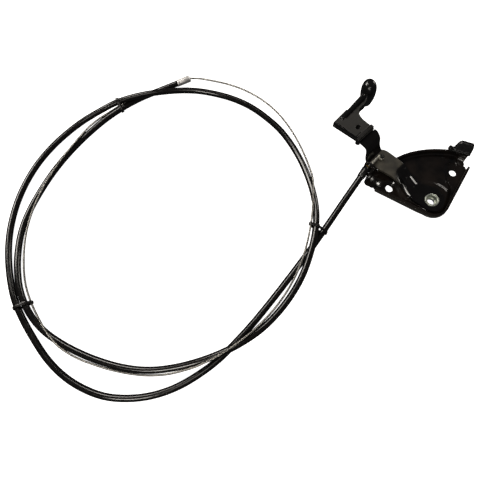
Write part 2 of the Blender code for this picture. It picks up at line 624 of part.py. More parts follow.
def build_grip(parts, cutters):
    outline = set_off(GRIP_OUTLINE, COLLAR_START_T)
    slab = flat_outline("pull_grip", [outline], GRIP_BOTTOM, GRIP_TOP, parts)
    slab = round_edges(slab, GRIP_EDGE, 2, 40.0)
    rib_height = RIB_TOP - RIB_HALF_WIDTH
    rib_line = [(l, t, rib_height) for l, t in set_off(RIB_ENDS, COLLAR_START_T)]
    rib = cord("grip_rib", rib_line, RIB_HALF_WIDTH, 4, cutters)
    rib = mesh_of(rib, merge=True)
    slab = join_solid(slab, rib, "UNION", cutters)
    collar = block("grip_collar", COLLAR_WIDTH, (COLLAR_START_T, COLLAR_START_T + COLLAR_LENGTH),
                   (GRIP_BOTTOM - COLLAR_STEP, GRIP_TOP + COLLAR_STEP), cutters)
    collar = round_edges(collar, 0.6, 2)
    slab = join_solid(slab, collar, "UNION", cutters)
    ear = block("grip_ear", EAR[0], [COLLAR_START_T + t for t in EAR[1]], EAR[2], cutters)
    slab = join_solid(slab, round_edges(ear, 0.7, 2), "UNION", cutters)
    slab = join_solid(slab, build_knob(cutters), "UNION", cutters)
    pocket = block("grip_pocket", (TONGUE[0] - FIT_GAP, TONGUE[1] + FIT_GAP),
                   (COLLAR_START_T - 2.0, COLLAR_START_T + TONGUE_LENGTH + FIT_GAP),
                   (LEVER_HIGH - FIT_GAP, LEVER_HIGH + LEVER_SHEET + FIT_GAP), cutters)
    slab = join_solid(slab, pocket, "DIFFERENCE", cutters)
    recess_line = offset_path(set_off(RECESS, COLLAR_START_T), -RECESS_HALF_WIDTH)
    recess = flat_outline("grip_recess", [wall_loop(recess_line, 2.0 * RECESS_HALF_WIDTH)],
                          GRIP_TOP - RECESS_DEPTH, GRIP_TOP + 2.0, cutters)
    slab = join_solid(slab, recess, "DIFFERENCE", cutters)
    turn_to_lever(slab)
    return slab


def build_cable_end(parts, cutters):
    """Collar, brass ring, wire stub, crimp and pin, all in the lever's frame."""
    neck_end = TAB[0] - FIT_GAP - RING_THICKNESS
    face = TAB[1] + FIT_GAP
    front = face + COLLAR_THICKNESS
    made = []
    profile = [(1.1, neck_end), (NECK_RADIUS, neck_end), (NECK_RADIUS, face), (COLLAR_RADIUS, face),
               (COLLAR_RADIUS, front - 0.3), (COLLAR_RADIUS - 0.3, front), (1.1, front)]
    fitting = turned("end_fitting", profile, parts, 32, closed=True)
    ring_bore = NECK_RADIUS + FIT_GAP
    ring_face = neck_end + RING_THICKNESS
    ring = turned("fitting_ring", [(ring_bore, neck_end), (RING_RADIUS, neck_end), (RING_RADIUS, ring_face),
                                   (ring_bore, ring_face)], parts, 32, closed=True)
    stub_start = front + FIT_GAP
    stub_end = stub_start + STUB_LENGTH
    stub = rod("wire_stub", 0.0, 0.0, (stub_start, stub_end), WIRE_RADIUS, parts, 16)
    crimp_start = stub_end + FIT_GAP
    crimp_end = PIN_L + 0.9
    waist = CRIMP_RADIUS - 0.2
    crimp = turned("crimp_tube", [(0.0, crimp_start), (CRIMP_RADIUS - 0.3, crimp_start),
                                  (CRIMP_RADIUS, crimp_start + 0.3), (CRIMP_RADIUS, crimp_start + 2.6),
                                  (waist, crimp_start + 3.4), (waist, crimp_end - 3.0),
                                  (CRIMP_RADIUS, crimp_end - 2.2), (CRIMP_RADIUS, crimp_end - 0.3),
                                  (CRIMP_RADIUS - 0.3, crimp_end), (0.0, crimp_end)], parts, 20)
    for obj in (fitting, ring, stub, crimp):
        point_along(obj, (0.0, AXIS_T, AXIS_Z), (1.0, 0.0, 0.0))
        made.append(obj)
    bottom = LEVER_MID + LEVER_SHEET + FIT_GAP
    eyelet = rod("crimp_eyelet", PIN_L, PIN_T, (bottom + 0.1, bottom + 2.8), EYELET_RADIUS, cutters, 24)
    hole = rod("crimp_eyelet_hole", PIN_L, PIN_T, (bottom - 2.0, bottom + 5.0), PIN_HOLE_RADIUS, cutters, 24)
    crimp = join_solid(crimp, eyelet, "UNION", cutters)
    crimp = join_solid(crimp, hole, "DIFFERENCE", cutters)
    made[3] = crimp
    head_foot = bottom + 3.0 + FIT_GAP
    nut_top = LEVER_MID - FIT_GAP
    pin = turned("wire_pin", [(0.0, nut_top - 1.1), (PIN_HEAD_RADIUS - 0.3, nut_top - 1.1),
                              (PIN_HEAD_RADIUS, nut_top - 0.8), (PIN_HEAD_RADIUS, nut_top),
                              (PIN_SHANK_RADIUS, nut_top), (PIN_SHANK_RADIUS, head_foot),
                              (PIN_HEAD_RADIUS, head_foot), (PIN_HEAD_RADIUS, head_foot + 0.5),
                              (PIN_HEAD_RADIUS - 0.4, head_foot + 0.9), (1.1, head_foot + 0.9),
                              (0.8, head_foot + 0.5), (0.0, head_foot + 0.5)], parts, 24)
    pin.data.transform(Matrix.Translation(Vector((PIN_L * MM, PIN_T * MM, 0.0))))
    made.append(pin)
    for obj in made:
        turn_to_lever(obj)
    return made


def smooth_route(points, step):
    """Reads a smooth curve through the route's points at even distances."""
    points = np.array(points, dtype=float)
    padded = np.vstack([2.0 * points[0] - points[1], points, 2.0 * points[-1] - points[-2]])
    fine = []
    for i in range(1, len(padded) - 2):
        p0, p1, p2, p3 = padded[i - 1:i + 3]
        t1 = math.sqrt(np.linalg.norm(p1 - p0))
        t2 = t1 + math.sqrt(np.linalg.norm(p2 - p1))
        t3 = t2 + math.sqrt(np.linalg.norm(p3 - p2))
        for t in np.linspace(t1, t2, 24, endpoint=False):
            a1 = (t1 - t) / t1 * p0 + t / t1 * p1
            a2 = (t2 - t) / (t2 - t1) * p1 + (t - t1) / (t2 - t1) * p2
            a3 = (t3 - t) / (t3 - t2) * p2 + (t - t2) / (t3 - t2) * p3
            b1 = (t2 - t) / t2 * a1 + t / t2 * a2
            b2 = (t3 - t) / (t3 - t1) * a2 + (t - t1) / (t3 - t1) * a3
            fine.append((t2 - t) / (t2 - t1) * b1 + (t - t1) / (t2 - t1) * b2)
    fine.append(points[-1])
    fine = np.array(fine)
    lengths = np.concatenate([[0.0], np.cumsum(np.linalg.norm(np.diff(fine, axis=0), axis=1))])
    count = int(round(lengths[-1] / step))
    places = np.linspace(0.0, lengths[-1], count + 1)
    return np.stack([np.interp(places, lengths, fine[:, k]) for k in range(3)], axis=1)


def nearest_on(route, point):
    """Nearest place on a route of straight pieces to a point."""
    a = route[:-1]
    ab = route[1:] - a
    share = ((point - a) * ab).sum(axis=1) / (ab * ab).sum(axis=1)
    places = a + np.clip(share, 0.0, 1.0)[:, None] * ab
    return places[np.argmin(np.linalg.norm(places - point, axis=1))]


def keep_clear(route, obstacle, gap, floor):
    """Eases a route's points away from an obstacle's centre line and up from the floor."""
    route = route.copy()
    for _ in range(60):
        middle = (route[:-2] + route[2:]) / 2.0
        route[2:-1] += 0.05 * (middle[1:] - route[2:-1])
        for i in range(2, len(route)):
            away = route[i] - nearest_on(obstacle, route[i])
            distance = np.linalg.norm(away)
            if distance < gap:
                route[i] += away / distance * (gap - distance)
        route[2:, 2] = np.maximum(route[2:, 2], floor)
    return route


def cord(name, route, radius, resolution, collection):
    curve = bpy.data.curves.new(name, "CURVE")
    curve.dimensions = "3D"
    curve.bevel_depth = radius * MM
    curve.bevel_resolution = resolution
    curve.use_fill_caps = True
    curve.twist_mode = "Z_UP"
    spline = curve.splines.new("POLY")
    spline.points.add(len(route) - 1)
    for point, place in zip(spline.points, route):
        point.co = (place[0] * MM, place[1] * MM, place[2] * MM, 1.0)
    return add_object(name, curve, collection)


def crossing(route, centre, direction):
    """Where a route passes nearest the centre through the plane across the direction."""
    best = None
    for a, b in zip(route, route[1:]):
        da = (a[0] - centre[0]) * direction[0] + (a[1] - centre[1]) * direction[1]
        db = (b[0] - centre[0]) * direction[0] + (b[1] - centre[1]) * direction[1]
        if da * db <= 0.0 and da != db:
            place = a + (b - a) * (da / (da - db))
            across = (place[0] - centre[0]) * -direction[1] + (place[1] - centre[1]) * direction[0]
            if abs(across) < 14.0:
                best = (best or []) + [(across, place[2])]
    return best or []


def hull(points):
    """Convex hull of plane points, counterclockwise."""
    points = sorted(set(points))
    halves = []
    for ordered in (points, points[::-1]):
        chain = []
        for p in ordered:
            while len(chain) > 1:
                (ax, ay), (bx, by) = chain[-2], chain[-1]
                if (bx - ax) * (p[1] - ay) - (by - ay) * (p[0] - ax) > 1e-9:
                    break
                chain.pop()
            chain.append(p)
        halves += chain[:-1]
    return halves


def bundle_loop(members, extra):
    points = []
    for across, height, radius in members:
        for i in range(20):
            angle = 2.0 * math.pi * i / 20
            points.append((round(across + (radius + extra) * math.cos(angle), 4),
                           round(height + (radius + extra) * math.sin(angle), 4)))
    return hull(points)


def build_tie(name, centre, direction, gap, lock_angle, conduit, wire, parts, cutters):
    size = math.hypot(direction[0], direction[1])
    direction = (direction[0] / size, direction[1] / size)
    members = [(u, v, CONDUIT_RADIUS) for u, v in crossing(conduit, centre, direction)]
    members += [(u, v, WIRE_RADIUS) for u, v in crossing(wire, centre, direction)]
    inner = bundle_loop(members, gap)
    outer = bundle_loop(members, gap + TIE_STRAP)
    strap = flat_outline(name, [outer, inner], -TIE_WIDTH / 2.0, TIE_WIDTH / 2.0, parts)
    reach = Vector((math.cos(math.radians(lock_angle)), math.sin(math.radians(lock_angle))))
    edge = max(outer, key=lambda p: p[0] * reach.x + p[1] * reach.y)
    lock = block(name + "_lock", (-1.0, 1.9), (-1.9, 1.9), (-1.7, 1.7), cutters)
    tail = block(name + "_tail", (1.2, 5.6), (0.4, 1.4), (-0.9, 0.9), cutters)
    lock = join_solid(lock, tail, "UNION", cutters)
    turn = Matrix.Rotation(math.radians(lock_angle), 4, "Z")
    lock.data.transform(Matrix.Translation(Vector((edge[0] * MM, edge[1] * MM, 0.0))) @ turn)
    tie = join_solid(strap, lock, "UNION", cutters)
    across = Vector((-direction[1], direction[0], 0.0))
    along = Vector((direction[0], direction[1], 0.0))
    frame = Matrix((across, Vector((0.0, 0.0, 1.0)), along)).transposed().to_4x4()
    tie.data.transform(Matrix.Translation(Vector((centre[0] * MM, centre[1] * MM, 0.0))) @ frame)
    return tie


def build_cables(parts, cutters):
    start = lever_to_world(CONDUIT_START[0], CONDUIT_START[1]) + (CONDUIT_START[2],)
    conduit = smooth_route([start] + CONDUIT_ROUTE, CONDUIT_STEP)
    conduit[:, 2] = np.maximum(conduit[:, 2], CONDUIT_RADIUS)
    cord("cable_conduit", conduit, CONDUIT_RADIUS, 4, parts)
    boot = turned("conduit_boot", [(CONDUIT_RADIUS + FIT_GAP, 0.0), (BOOT_RADIUS - 0.2, 0.0),
                                   (BOOT_RADIUS, 0.4), (BOOT_RADIUS - 0.3, BOOT_LENGTH - 0.4),
                                   (BOOT_RADIUS - 0.6, BOOT_LENGTH),
                                   (CONDUIT_RADIUS + FIT_GAP, BOOT_LENGTH)], parts, 32, closed=True)
    point_along(boot, tuple(conduit[0]), tuple(conduit[1] - conduit[0]))
    heading = conduit[-1] - conduit[-2]
    heading /= np.linalg.norm(heading)
    mouth = conduit[-1] + heading * (2.0 * FIT_GAP + FERRULE_LENGTH)
    ferrule = turned("end_ferrule", [(0.0, 0.0), (FERRULE_RADIUS, 0.0), (FERRULE_RADIUS, 3.0),
                                     (FERRULE_WAIST, 3.8), (FERRULE_WAIST, 6.2), (FERRULE_RADIUS, 7.0),
                                     (FERRULE_RADIUS, FERRULE_LENGTH - 0.6),
                                     (FERRULE_RADIUS - 0.6, FERRULE_LENGTH), (0.0, FERRULE_LENGTH)],
                     parts, 32)
    point_along(ferrule, tuple(conduit[-1] + heading * FIT_GAP), tuple(heading))
    wire = smooth_route([tuple(mouth)] + WIRE_ROUTE, WIRE_STEP)
    wire = keep_clear(wire, conduit, WIRE_CLEARANCE, WIRE_RADIUS)
    cord("inner_wire", wire, WIRE_RADIUS, 2, parts)
    for name, centre, direction, gap, lock_angle in TIES:
        build_tie(name, centre, direction, gap, lock_angle, conduit, wire, parts, cutters)


def place_parts(parts):
    """Moves the pivot axis to its place and hangs the lever's pieces on it."""
    hole_x, hole_y = BOLT_HOLES[0]
    axis = Vector(((ORIGIN_BESIDE_HOLE - hole_x) * MM, -hole_y * MM, 0.0))
    pivot = add_object("lever_pivot", None, parts)
    pivot.location = axis
    for obj in list(parts.objects):
        if obj.name in LEVER_PIECES:
            obj.parent = pivot
        elif obj is not pivot:
            obj.location = axis


def main():
    for obj in list(bpy.data.objects):
        bpy.data.objects.remove(obj)
    parts = bpy.data.collections.new("hood_release_cable")
    cutters = bpy.data.collections.new("cutters")
    bpy.context.scene.collection.children.link(parts)
    bpy.context.scene.collection.children.link(cutters)
    build_base_plate(parts, cutters)
    build_lever(parts, cutters)
    build_rivet(parts)
    build_bumper(parts, cutters)
    build_grip(parts, cutters)
    build_cable_end(parts, cutters)
    build_cables(parts, cutters)
    for obj in list(parts.objects):
        give_look(obj)
    for obj in list(cutters.objects):
        bpy.data.objects.remove(obj)
    place_parts(parts)


main()
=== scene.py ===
"""Looks of the hood release cable: finer pieces, paint, plastic and metal finishes, light and camera."""
import math

import bmesh
import bpy
import numpy as np
from mathutils import Matrix, Vector
from mathutils.geometry import convex_hull_2d


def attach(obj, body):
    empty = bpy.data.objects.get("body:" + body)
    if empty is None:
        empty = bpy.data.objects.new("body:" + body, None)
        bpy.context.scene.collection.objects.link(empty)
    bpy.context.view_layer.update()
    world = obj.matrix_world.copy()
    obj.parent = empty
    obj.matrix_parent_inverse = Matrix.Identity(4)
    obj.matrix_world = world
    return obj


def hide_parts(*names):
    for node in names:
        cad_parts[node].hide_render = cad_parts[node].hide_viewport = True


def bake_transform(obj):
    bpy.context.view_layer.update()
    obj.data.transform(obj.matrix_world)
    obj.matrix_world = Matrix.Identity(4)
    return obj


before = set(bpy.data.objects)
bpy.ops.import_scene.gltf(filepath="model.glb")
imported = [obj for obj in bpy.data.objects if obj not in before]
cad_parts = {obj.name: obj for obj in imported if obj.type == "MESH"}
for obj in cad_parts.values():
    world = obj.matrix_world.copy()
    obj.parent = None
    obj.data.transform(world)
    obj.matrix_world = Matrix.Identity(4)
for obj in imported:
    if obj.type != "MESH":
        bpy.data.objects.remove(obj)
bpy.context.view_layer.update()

# Shapes are drawn in millimetres round the lever's pivot axis and moved to the part's origin at the end.
# In the lever's frame L runs across the lever and T along it, turned by its angle from X and Y.
MM = 0.001
PIVOT = np.array([43.8, -15.3, 0.0])
LEVER_ANGLE = math.radians(45.0)
LEVER_SIDE = (math.cos(LEVER_ANGLE), math.sin(LEVER_ANGLE), 0.0)
FIT_GAP = 0.3
WELD_DISTANCE = 0.0005
FOOT_REACH = 0.02
CURVE_STEPS = 24

# Bracket sheet
SHEET = 2.0
PAD_TOP = 2.0
FAN_TOP = 4.6
BOSS_TOP = 5.6
BOSS_RADIUS = 20.4
BOSS_STEP = 2.4
STEP_HALF_WIDTH = 2.2
FLANGE_TOP = 7.5
RIM_TOP = 10.0
HOLDER_TOP = 17.5
RIM_BEND = 1.5
FLANGE_BEND = 0.4
PLATE_CELL = 0.8
RIM_STEP = 0.9
FLANGE_STEP = 1.5
BOLT_HOLE_RADIUS = 3.5
BOLT_HOLES = [(-35.8, 15.3), (26.5, 32.0)]
PIVOT_HOLE_RADIUS = 6.0
CORNER_CENTRE = (1.4, 0.0)
CORNER_RADIUS = 15.3
CORNER_ANGLES = (-120.0, -32.0)
RAMP_ROUNDING = 0.25
CREASE_HEIGHT = 0.7
CREASE_HALF_WIDTH = 1.3
DRAW_MARK_PITCH = 1.45
CREASES = [((21.3, 40.8), (30.7, 46.7)), ((30.7, 46.7), (31.8, 39.2))]

# Lever sheet
LEVER_SHEET = 2.4
LEVER_LOW = BOSS_TOP + FIT_GAP
LEVER_MID = RIM_TOP + 0.6
LEVER_HIGH = 22.2
LEVER_CELL = 0.7
LEVER_STEP = 1.0
JOG_END = 43.0
JOG_LENGTH = 14.0
JOG_CURVE = 0.11
# Where the lever's olive flat starts and stops: part wear and dust, part painted sheen
WEAR_AND_SHEEN_BEFORE_CRANK = 1.5
WEAR_AND_SHEEN_PAST_NECK = 1.6
WEAR_AND_SHEEN_FADE = 2.0
BEAD_HEIGHT = 0.8
BEAD_HALF_WIDTH = 3.0
BEAD_ENDS = ((1.2, 21.0), (5.6, 37.0))

# Cable end on the lever, and the holder's tab
AXIS_T = 62.3
AXIS_Z = LEVER_MID + LEVER_SHEET + FIT_GAP + 1.5
PIN_L = -1.8
PIN_T = AXIS_T - 2.4
PIN_HOLE_RADIUS = 1.6
NECK_START = AXIS_T + 3.3
NECK_END = NECK_START + 9.8
GRIP_START = NECK_END + 6.8
HOLDER_FACE_T = AXIS_T - 4.8
HOLDER_LINE = (-15.6, -20.0, -26.2)
HOLDER_RISE_L = -13.2
HOLDER_RISE = 2.4
RIM_END_T = 45.0
TAB = (-18.6, -16.6)
TAB_START_T = HOLDER_FACE_T - 1.0
TAB_END_T = AXIS_T + 4.4
TAB_FOOT = 8.6
TAB_TOP = HOLDER_TOP + 0.3
SLOT_HALF_WIDTH = 2.2
NECK_RADIUS = 1.9
COLLAR_LIP = 1.4
COLLAR_FRONT = [(3.6, -0.3), (3.3, 0.0), (1.5, 0.0), (1.1, -0.3)]
RING_LENGTH = 1.2
RING_RADII = (2.2, 3.3)
STUB_RINGS = 24
STUB_LENGTH = 1.2
STUB_OVERLAP = 0.6

# Profiles of (radius, height): the rivet, then the crimp from both its ends, its eyelet, and the pin's
# nut and head
HEAD_FOOT = LEVER_LOW + LEVER_SHEET + 0.05
RIVET_PROFILE = [(3.5, 2.4), (6.8, 2.4), (7.0, 3.3), (5.9, 3.3), (5.9, HEAD_FOOT), (6.45, HEAD_FOOT),
                 (6.5, 9.1), (6.3, 9.4), (5.9, 9.5), (5.1, 9.5), (4.8, 9.35), (4.55, 9.0), (4.5, 5.4),
                 (4.3, 5.0), (4.0, 4.9), (3.7, 4.9), (3.5, 4.7)]
CRIMP_FRONT = [(0.0, 0.0), (1.2, 0.0), (1.5, 0.3), (1.5, 2.4), (1.28, 2.9), (1.28, 4.4), (1.42, 4.8)]
CRIMP_BACK = [(1.42, -4.4), (1.28, -4.0), (1.28, -2.6), (1.5, -2.1), (1.5, -0.3), (1.2, 0.0), (0.0, 0.0)]
CRIMP_PAST_PIN = 0.9
EYELET_HEIGHT = 3.0
EYELET = [(1.6, 0.1), (2.5, 0.1), (2.5, 2.8), (1.6, 2.8)]
PIN_NUT = [(0.0, -1.1), (1.9, -1.1), (2.2, -0.8), (2.2, 0.0), (1.3, 0.0)]
PIN_HEAD = [(1.3, 0.0), (2.2, 0.0), (2.2, 0.5), (1.9, 0.85), (1.3, 0.9), (1.0, 0.55), (0.0, 0.5)]

# Outer cable and wire
CONDUIT_RADIUS = 3.0
CONDUIT_STEP = 20.0
WIRE_RADIUS = 0.9
WIRE_STEP = 11.0
WIRE_CLEARANCE = CONDUIT_RADIUS + WIRE_RADIUS + 0.6
STRAND_PITCH = 7.0
STRANDS = 6.0
EASING_PASSES = 60
EASING = 0.05
FERRULE_RADIUS = 3.35
FERRULE_LENGTH = 14.2
FERRULE_FOOT = [(0.0, 0.0), (3.2, 0.0), (FERRULE_RADIUS, 0.25), (FERRULE_RADIUS, 2.6), (3.2, 2.8),
                (3.2, 3.1), (FERRULE_RADIUS, 3.3)]
FERRULE_MOUTH = [(FERRULE_RADIUS, -1.5), (3.22, -1.2), (FERRULE_RADIUS, -0.9), (FERRULE_RADIUS, -0.4),
                 (3.0, 0.0), (1.4, 0.0), (1.1, -0.6), (0.0, -0.6)]
SLEEVE_PROFILE = [(3.02, -0.2), (3.6, -0.2), (3.8, 0.3), (3.75, 4.0), (3.55, 9.4), (3.3, 10.0), (3.02, 10.0)]

# Outer faces of the bracket's walls
RIM_PATH = [(40.4, 46.4), (36, 49.2), (29, 51.8), (21.8, 53), (11, 53.6), (0.2, 53),
            (-12.7, 50.5), (-21.5, 47.4), (-28.4, 43.8), (-37.5, 37.6), (-45.4, 31.4)]
LEFT_END = [(-53.9, 18.4), (-52.4, 17.2), (-50.2, 16.9)]
FLANGE_LEFT = (-50.2, 12.7)
FLANGE_RIGHT = (41.4, 34.9)
FLANGE_HEADING = (0.861, -0.508, 0)
NOTCH = [(39.6, 37.6), (38, 39.4), (38.9, 41.8)]
FAN_EDGE = [(-60, 33), (-54, 28.6), (-51, 24.2), (-48.2, 21.2), (-45, 19.4), (-41.6, 19.1),
            (-38.4, 20.3), (-35.6, 20.9), (-31.6, 20.5), (-28.8, 17.4), (-26, 10.4), (-23.2, 4.6),
            (-18.6, 1), (-12, -4.7), (-7, -8.8), (-0.5, -11.5),
            (6.5, -10.2), (11.8, -5), (17, 5), (20.2, 14.5), (18.4, 24.2), (19, 31.5),
            (21.6, 40.6), (26, 43.5), (33, 50), (40, 60), (-60, 60)]

# Lever and grip outlines in the lever's frame
LEVER_RIGHT = [(8.9, 37.9), (8.1, 30.7), (6.9, 21), (7.4, 16.4), (10.4, 10.6), (12.6, 5.4),
               (12.8, 0.9), (10.6, -5), (6, -9.8), (0, -11.3), (-6, -9.6), (-9.8, -4.4)]
LEVER_LEFT = [(-11, 2.9), (-12.3, 15.9), (-10.4, 29.4), (-9.7, 41.2)]

# The lever's neck, T measured from its start, and the grip, T measured from its collar
NECK_LEFT = [(-11.7, -11.8), (-12.5, -5.3), (-14, 2.7), (-13.4, 4.6), (-10.4, 7.6), (-9.6, 10.9),
             (-9.2, 16.3)]
NECK_RIGHT = [(11.6, 16.3), (11.4, 12.6), (9, 8.8), (5.6, 5.6), (6.2, 1.6), (8.4, -3.6),
              (9.2, -14.8)]
TONGUE = [(-6.5, -0.3), (-6.5, 21.8), (7.5, 21.8), (7.5, -0.3)]
GRIP_OUTLINE = [(-9, 1.8), (9.4, 2.2), (11.6, 5.6), (11.4, 9), (11.6, 13.9), (12.9, 18.5),
                (14.5, 20.9), (17, 22.4), (19.5, 23), (24, 23), (30, 24.2), (36, 26.8),
                (36, 34.3), (28.8, 34), (10, 32.3), (-12.1, 31.3)]
GRIP_CURVE = slice(2, 12)
GRIP_BOTTOM = 20.5
GRIP_TOP = 27.0
GRIP_SHOULDER = GRIP_BOTTOM + 3.2
GRIP_INSET = 0.9
GRIP_VOXEL = 0.28
SKIN_PASSES = 3
SPINE_START = (-2.6, 110.6, 26.2)
SPINE_END = (31.4, 112.2, 26.4)
SPINE_RADIUS = 2.1
HEEL = [(-12, 112.2), (8, 113), (8, 114.4), (-12, 113.5)]
HEEL_FOOT = 24.0
HEEL_TOP = 27.2
RECESS_CENTRE = (0.6, 93.7)
RECESS_RADIUS = 2.2
RECESS_DEPTH = 3.6
RECESS_STRETCH = (1.25, 0.85, 1.0)
CUTTER_REACH = 3.0
FINE_RIB_PITCH = 1.6
GROOVES = [((0, 107.9), (31, 109.4), 1.7, 1.5), ((-9.6, 88.6), (-9.9, 111.5), 0.9, 0.8),
           ((-9.4, 88.2), (9.6, 88.4), 1.1, 1.2)]
# The grip's collar, lip and ear: sides, then the width and segments of their rounding
GRIP_BLOCKS = [((-11, 10.6), (83.2, 86.4), (GRIP_BOTTOM - 0.9, GRIP_TOP + 0.9), 0.6, 3),
               ((-10.4, 10.2), (82.2, 84), (GRIP_BOTTOM - 0.5, GRIP_TOP + 0.2), 0.4, 2),
               ((8, 13), (84, 87.8), (22.6, GRIP_TOP - 1.3), 0.7, 3)]
KNOB_CENTRE = (39.8, 31.2)
KNOB_RADIUS = 8.1
KNOB_FOOT_RADIUS = 6.3
KNOB_BOTTOM = 9.0
KNOB_TOP = 36.0
KNOB_STRETCH = 1.15
KNOB_LEAN = 0.17
KNOB_FULLNESS = 0.55
KNOB_RINGS = 24
# Where the grip's dull face ends, each with the width of its fade
DULL_LEAN = (0.86, 0.1)
DULL_TOP = (GRIP_TOP + 1.2, 0.6)
DULL_BOTTOM = (GRIP_TOP - 2.0, 0.8)
DULL_KNOB_EDGE = (KNOB_CENTRE[0] - 8.0, 2.0)

# Stop bumper on the rim, in its own frame: X along the rim from the middle, Y outward
BUMPER_CENTRE = (34, 49.6)
BUMPER_ANGLE = math.radians(-19)
BUMPER_FOOT = RIM_TOP + FIT_GAP
BUMPER_COLLAR = ((-12.4, 8.4), (-2.6, 2.6), (BUMPER_FOOT, 13))
BUMPER_HEAD_SIDE = [(-8.2, 10.9), (8.3, 10.9), (8.8, 16.6), (8.2, 18.9), (7, 19.8), (-3.4, 19.8),
                    (-5.4, 18.4), (-6.6, 15.6)]
BUMPER_HEAD_FRONT = ((10.9, -2.4), (19.8, 4.2))
BUMPER_HEAD_BACK = ((10.9, 3.2), (19.8, 6.9))
BUMPER_LUG = (-11.2, 0, 1.9)
BUMPER_LUG_FOOT = BUMPER_FOOT + 0.6
BUMPER_LUG_TOP = 14.6
BUMPER_VOXEL = 0.25

# Ties: middle in plan, direction along the runs and the lock's angle round the runs
TIE_WIDTH = 2.4
TIE_STRAP = 0.8
TIE_REACH = 14.0
TIE_LOCK = ((0.2, 1.5), (-1.7, 1.7), (-1.5, 1.5))
TIES = [("tie_right", (-105, -28.5), (-0.35, -0.94), 75),
        ("tie_left", (-361, -98), (-0.36, 0.93), 100),
        ("tie_top", (-295.6, 106), (0.86, 0.50), 100)]

# Outer cable's route from the bracket to the ferrule
CONDUIT_START = (-21.2, AXIS_T - 0.1, AXIS_Z - 0.1)
CONDUIT_ROUTE = [
    (-66.6, 18.4, 13.3), (-75.5, 6.2, 10.8), (-91, -15.5, 6), (-101.5, -30.5, 5),
    (-116.5, -51, 3), (-143, -86, 3), (-171, -120, 3), (-202.5, -150.5, 3),
    (-241, -170.5, 3), (-284.5, -172.5, 3), (-323.5, -153.5, 3), (-352.5, -120.5, 3),
    (-366.5, -97.5, 4.8), (-373.5, -82, 4.2), (-383.5, -39.5, 3), (-381.5, 4, 3),
    (-367, 45.5, 3), (-341, 80.5, 3.2), (-319, 97.5, 5.2), (-294, 109.5, 9.6),
    (-267, 117.5, 10), (-240, 124, 6.3), (-212.5, 125, 3.5), (-171.5, 111, 3),
    (-138.5, 82, 3.1), (-124, 58.5, 3.7), (-114, 32.5, 5.4), (-108, 5.5, 7.6),
    (-107.5, -22.5, 10.4), (-113.5, -50, 10.2), (-123.5, -75.5, 7.5), (-139, -99, 6.7),
    (-158, -119, 8.1), (-181.5, -134.5, 9.7), (-207, -145, 8.6), (-234, -151, 5.7),
    (-262, -151.5, 3.7), (-304, -140, 3), (-342, -118.5, 3.6), (-359.5, -97, 5.2),
    (-369.5, -71.5, 5.1), (-373.5, -28, 3), (-361.5, 14, 3), (-341, 53, 3),
    (-313.5, 87, 3.8), (-296, 102, 4.8), (-280, 114.5, 3.8), (-240.5, 135, 3.6)]

# Wire's route from the ferrule to its bare end
WIRE_ROUTE = [
    (-213.5, 142.5, 1.6), (-184.5, 137, 0.9), (-158, 122.5, 0.9), (-136.5, 102, 0.9),
    (-122, 76, 0.9), (-112.5, 51, 1.8), (-110, 38.5, 4.4), (-108, 24.5, 9),
    (-108, 10, 11.6), (-109, -4.5, 12.8), (-110.5, -18.5, 13.2), (-113.5, -32, 13),
    (-116.5, -45.5, 12.4), (-120.5, -58.5, 11.9), (-126, -71.5, 10.8), (-132.5, -84, 10.4),
    (-140, -95.5, 10.4), (-148.5, -106, 10.9), (-157.5, -115.5, 11.9), (-165.5, -123.5, 12.9),
    (-175.5, -131, 13.8), (-187, -138.5, 13.6), (-199.5, -145.5, 12), (-211.5, -150.5, 9.9),
    (-223.5, -153, 7.8), (-236.5, -155.5, 5.3), (-250.5, -156, 2), (-280.5, -152.5, 0.9),
    (-308.5, -143, 1.2), (-320.5, -137, 3.4), (-331, -129, 6.4), (-340.5, -119, 7.6),
    (-348.5, -108.5, 7.6), (-354, -97.5, 5), (-363, -86, 1.2), (-368, -72.5, 0.9),
    (-367.5, -59.5, 2.8), (-369, -46.5, 5.6), (-369.5, -32, 6), (-368, -17.5, 6.4),
    (-365, -4, 6.8), (-361.5, 9.5, 7.1), (-356.5, 22.5, 7.2), (-351, 35, 7.3),
    (-344.5, 47.5, 7.3), (-337.5, 58.5, 7.3), (-330, 69.5, 7.2), (-323, 81, 6.1),
    (-314.5, 92.5, 4.5), (-304.5, 101.5, 3.2), (-297, 108.5, 2.6), (-291.5, 113, 2.6)]

# Studio: lights as (name, bearing, height, size, power), and the photograph's camera
FLOOR_SIZE = 4.0
FLOOR_DROP = 0.0002
WORLD_STRENGTH = 0.08
LIGHT_DISTANCE = 1.7
SOFTBOXES = [("key_softbox", 248.0, 45.0, (0.55, 0.3), 12.0),
             ("left_softbox", 150.0, 40.0, (0.45, 0.3), 11.0),
             ("back_left_softbox", 120.0, 52.0, (0.45, 0.3), 7.0),
             ("back_strip", 47.0, 25.0, (0.45, 0.3), 5.0),
             ("top_softbox", 270.0, 72.0, (0.45, 0.3), 2.5)]
CAMERA_PLACE = (-175.916, -212.406, 436.704)
CAMERA_TILT = 22.0
CAMERA_LENS = 39.0
CAMERA_SENSOR = 36.0


# Lines and heights

def lever_to_pivot(l, t):
    c = math.cos(LEVER_ANGLE)
    s = math.sin(LEVER_ANGLE)
    return (c * l - s * t, s * l + c * t)


def set_off(points, start):
    """Adds a start to the second coordinate of points."""
    return [(l, start + t) for l, t in points]


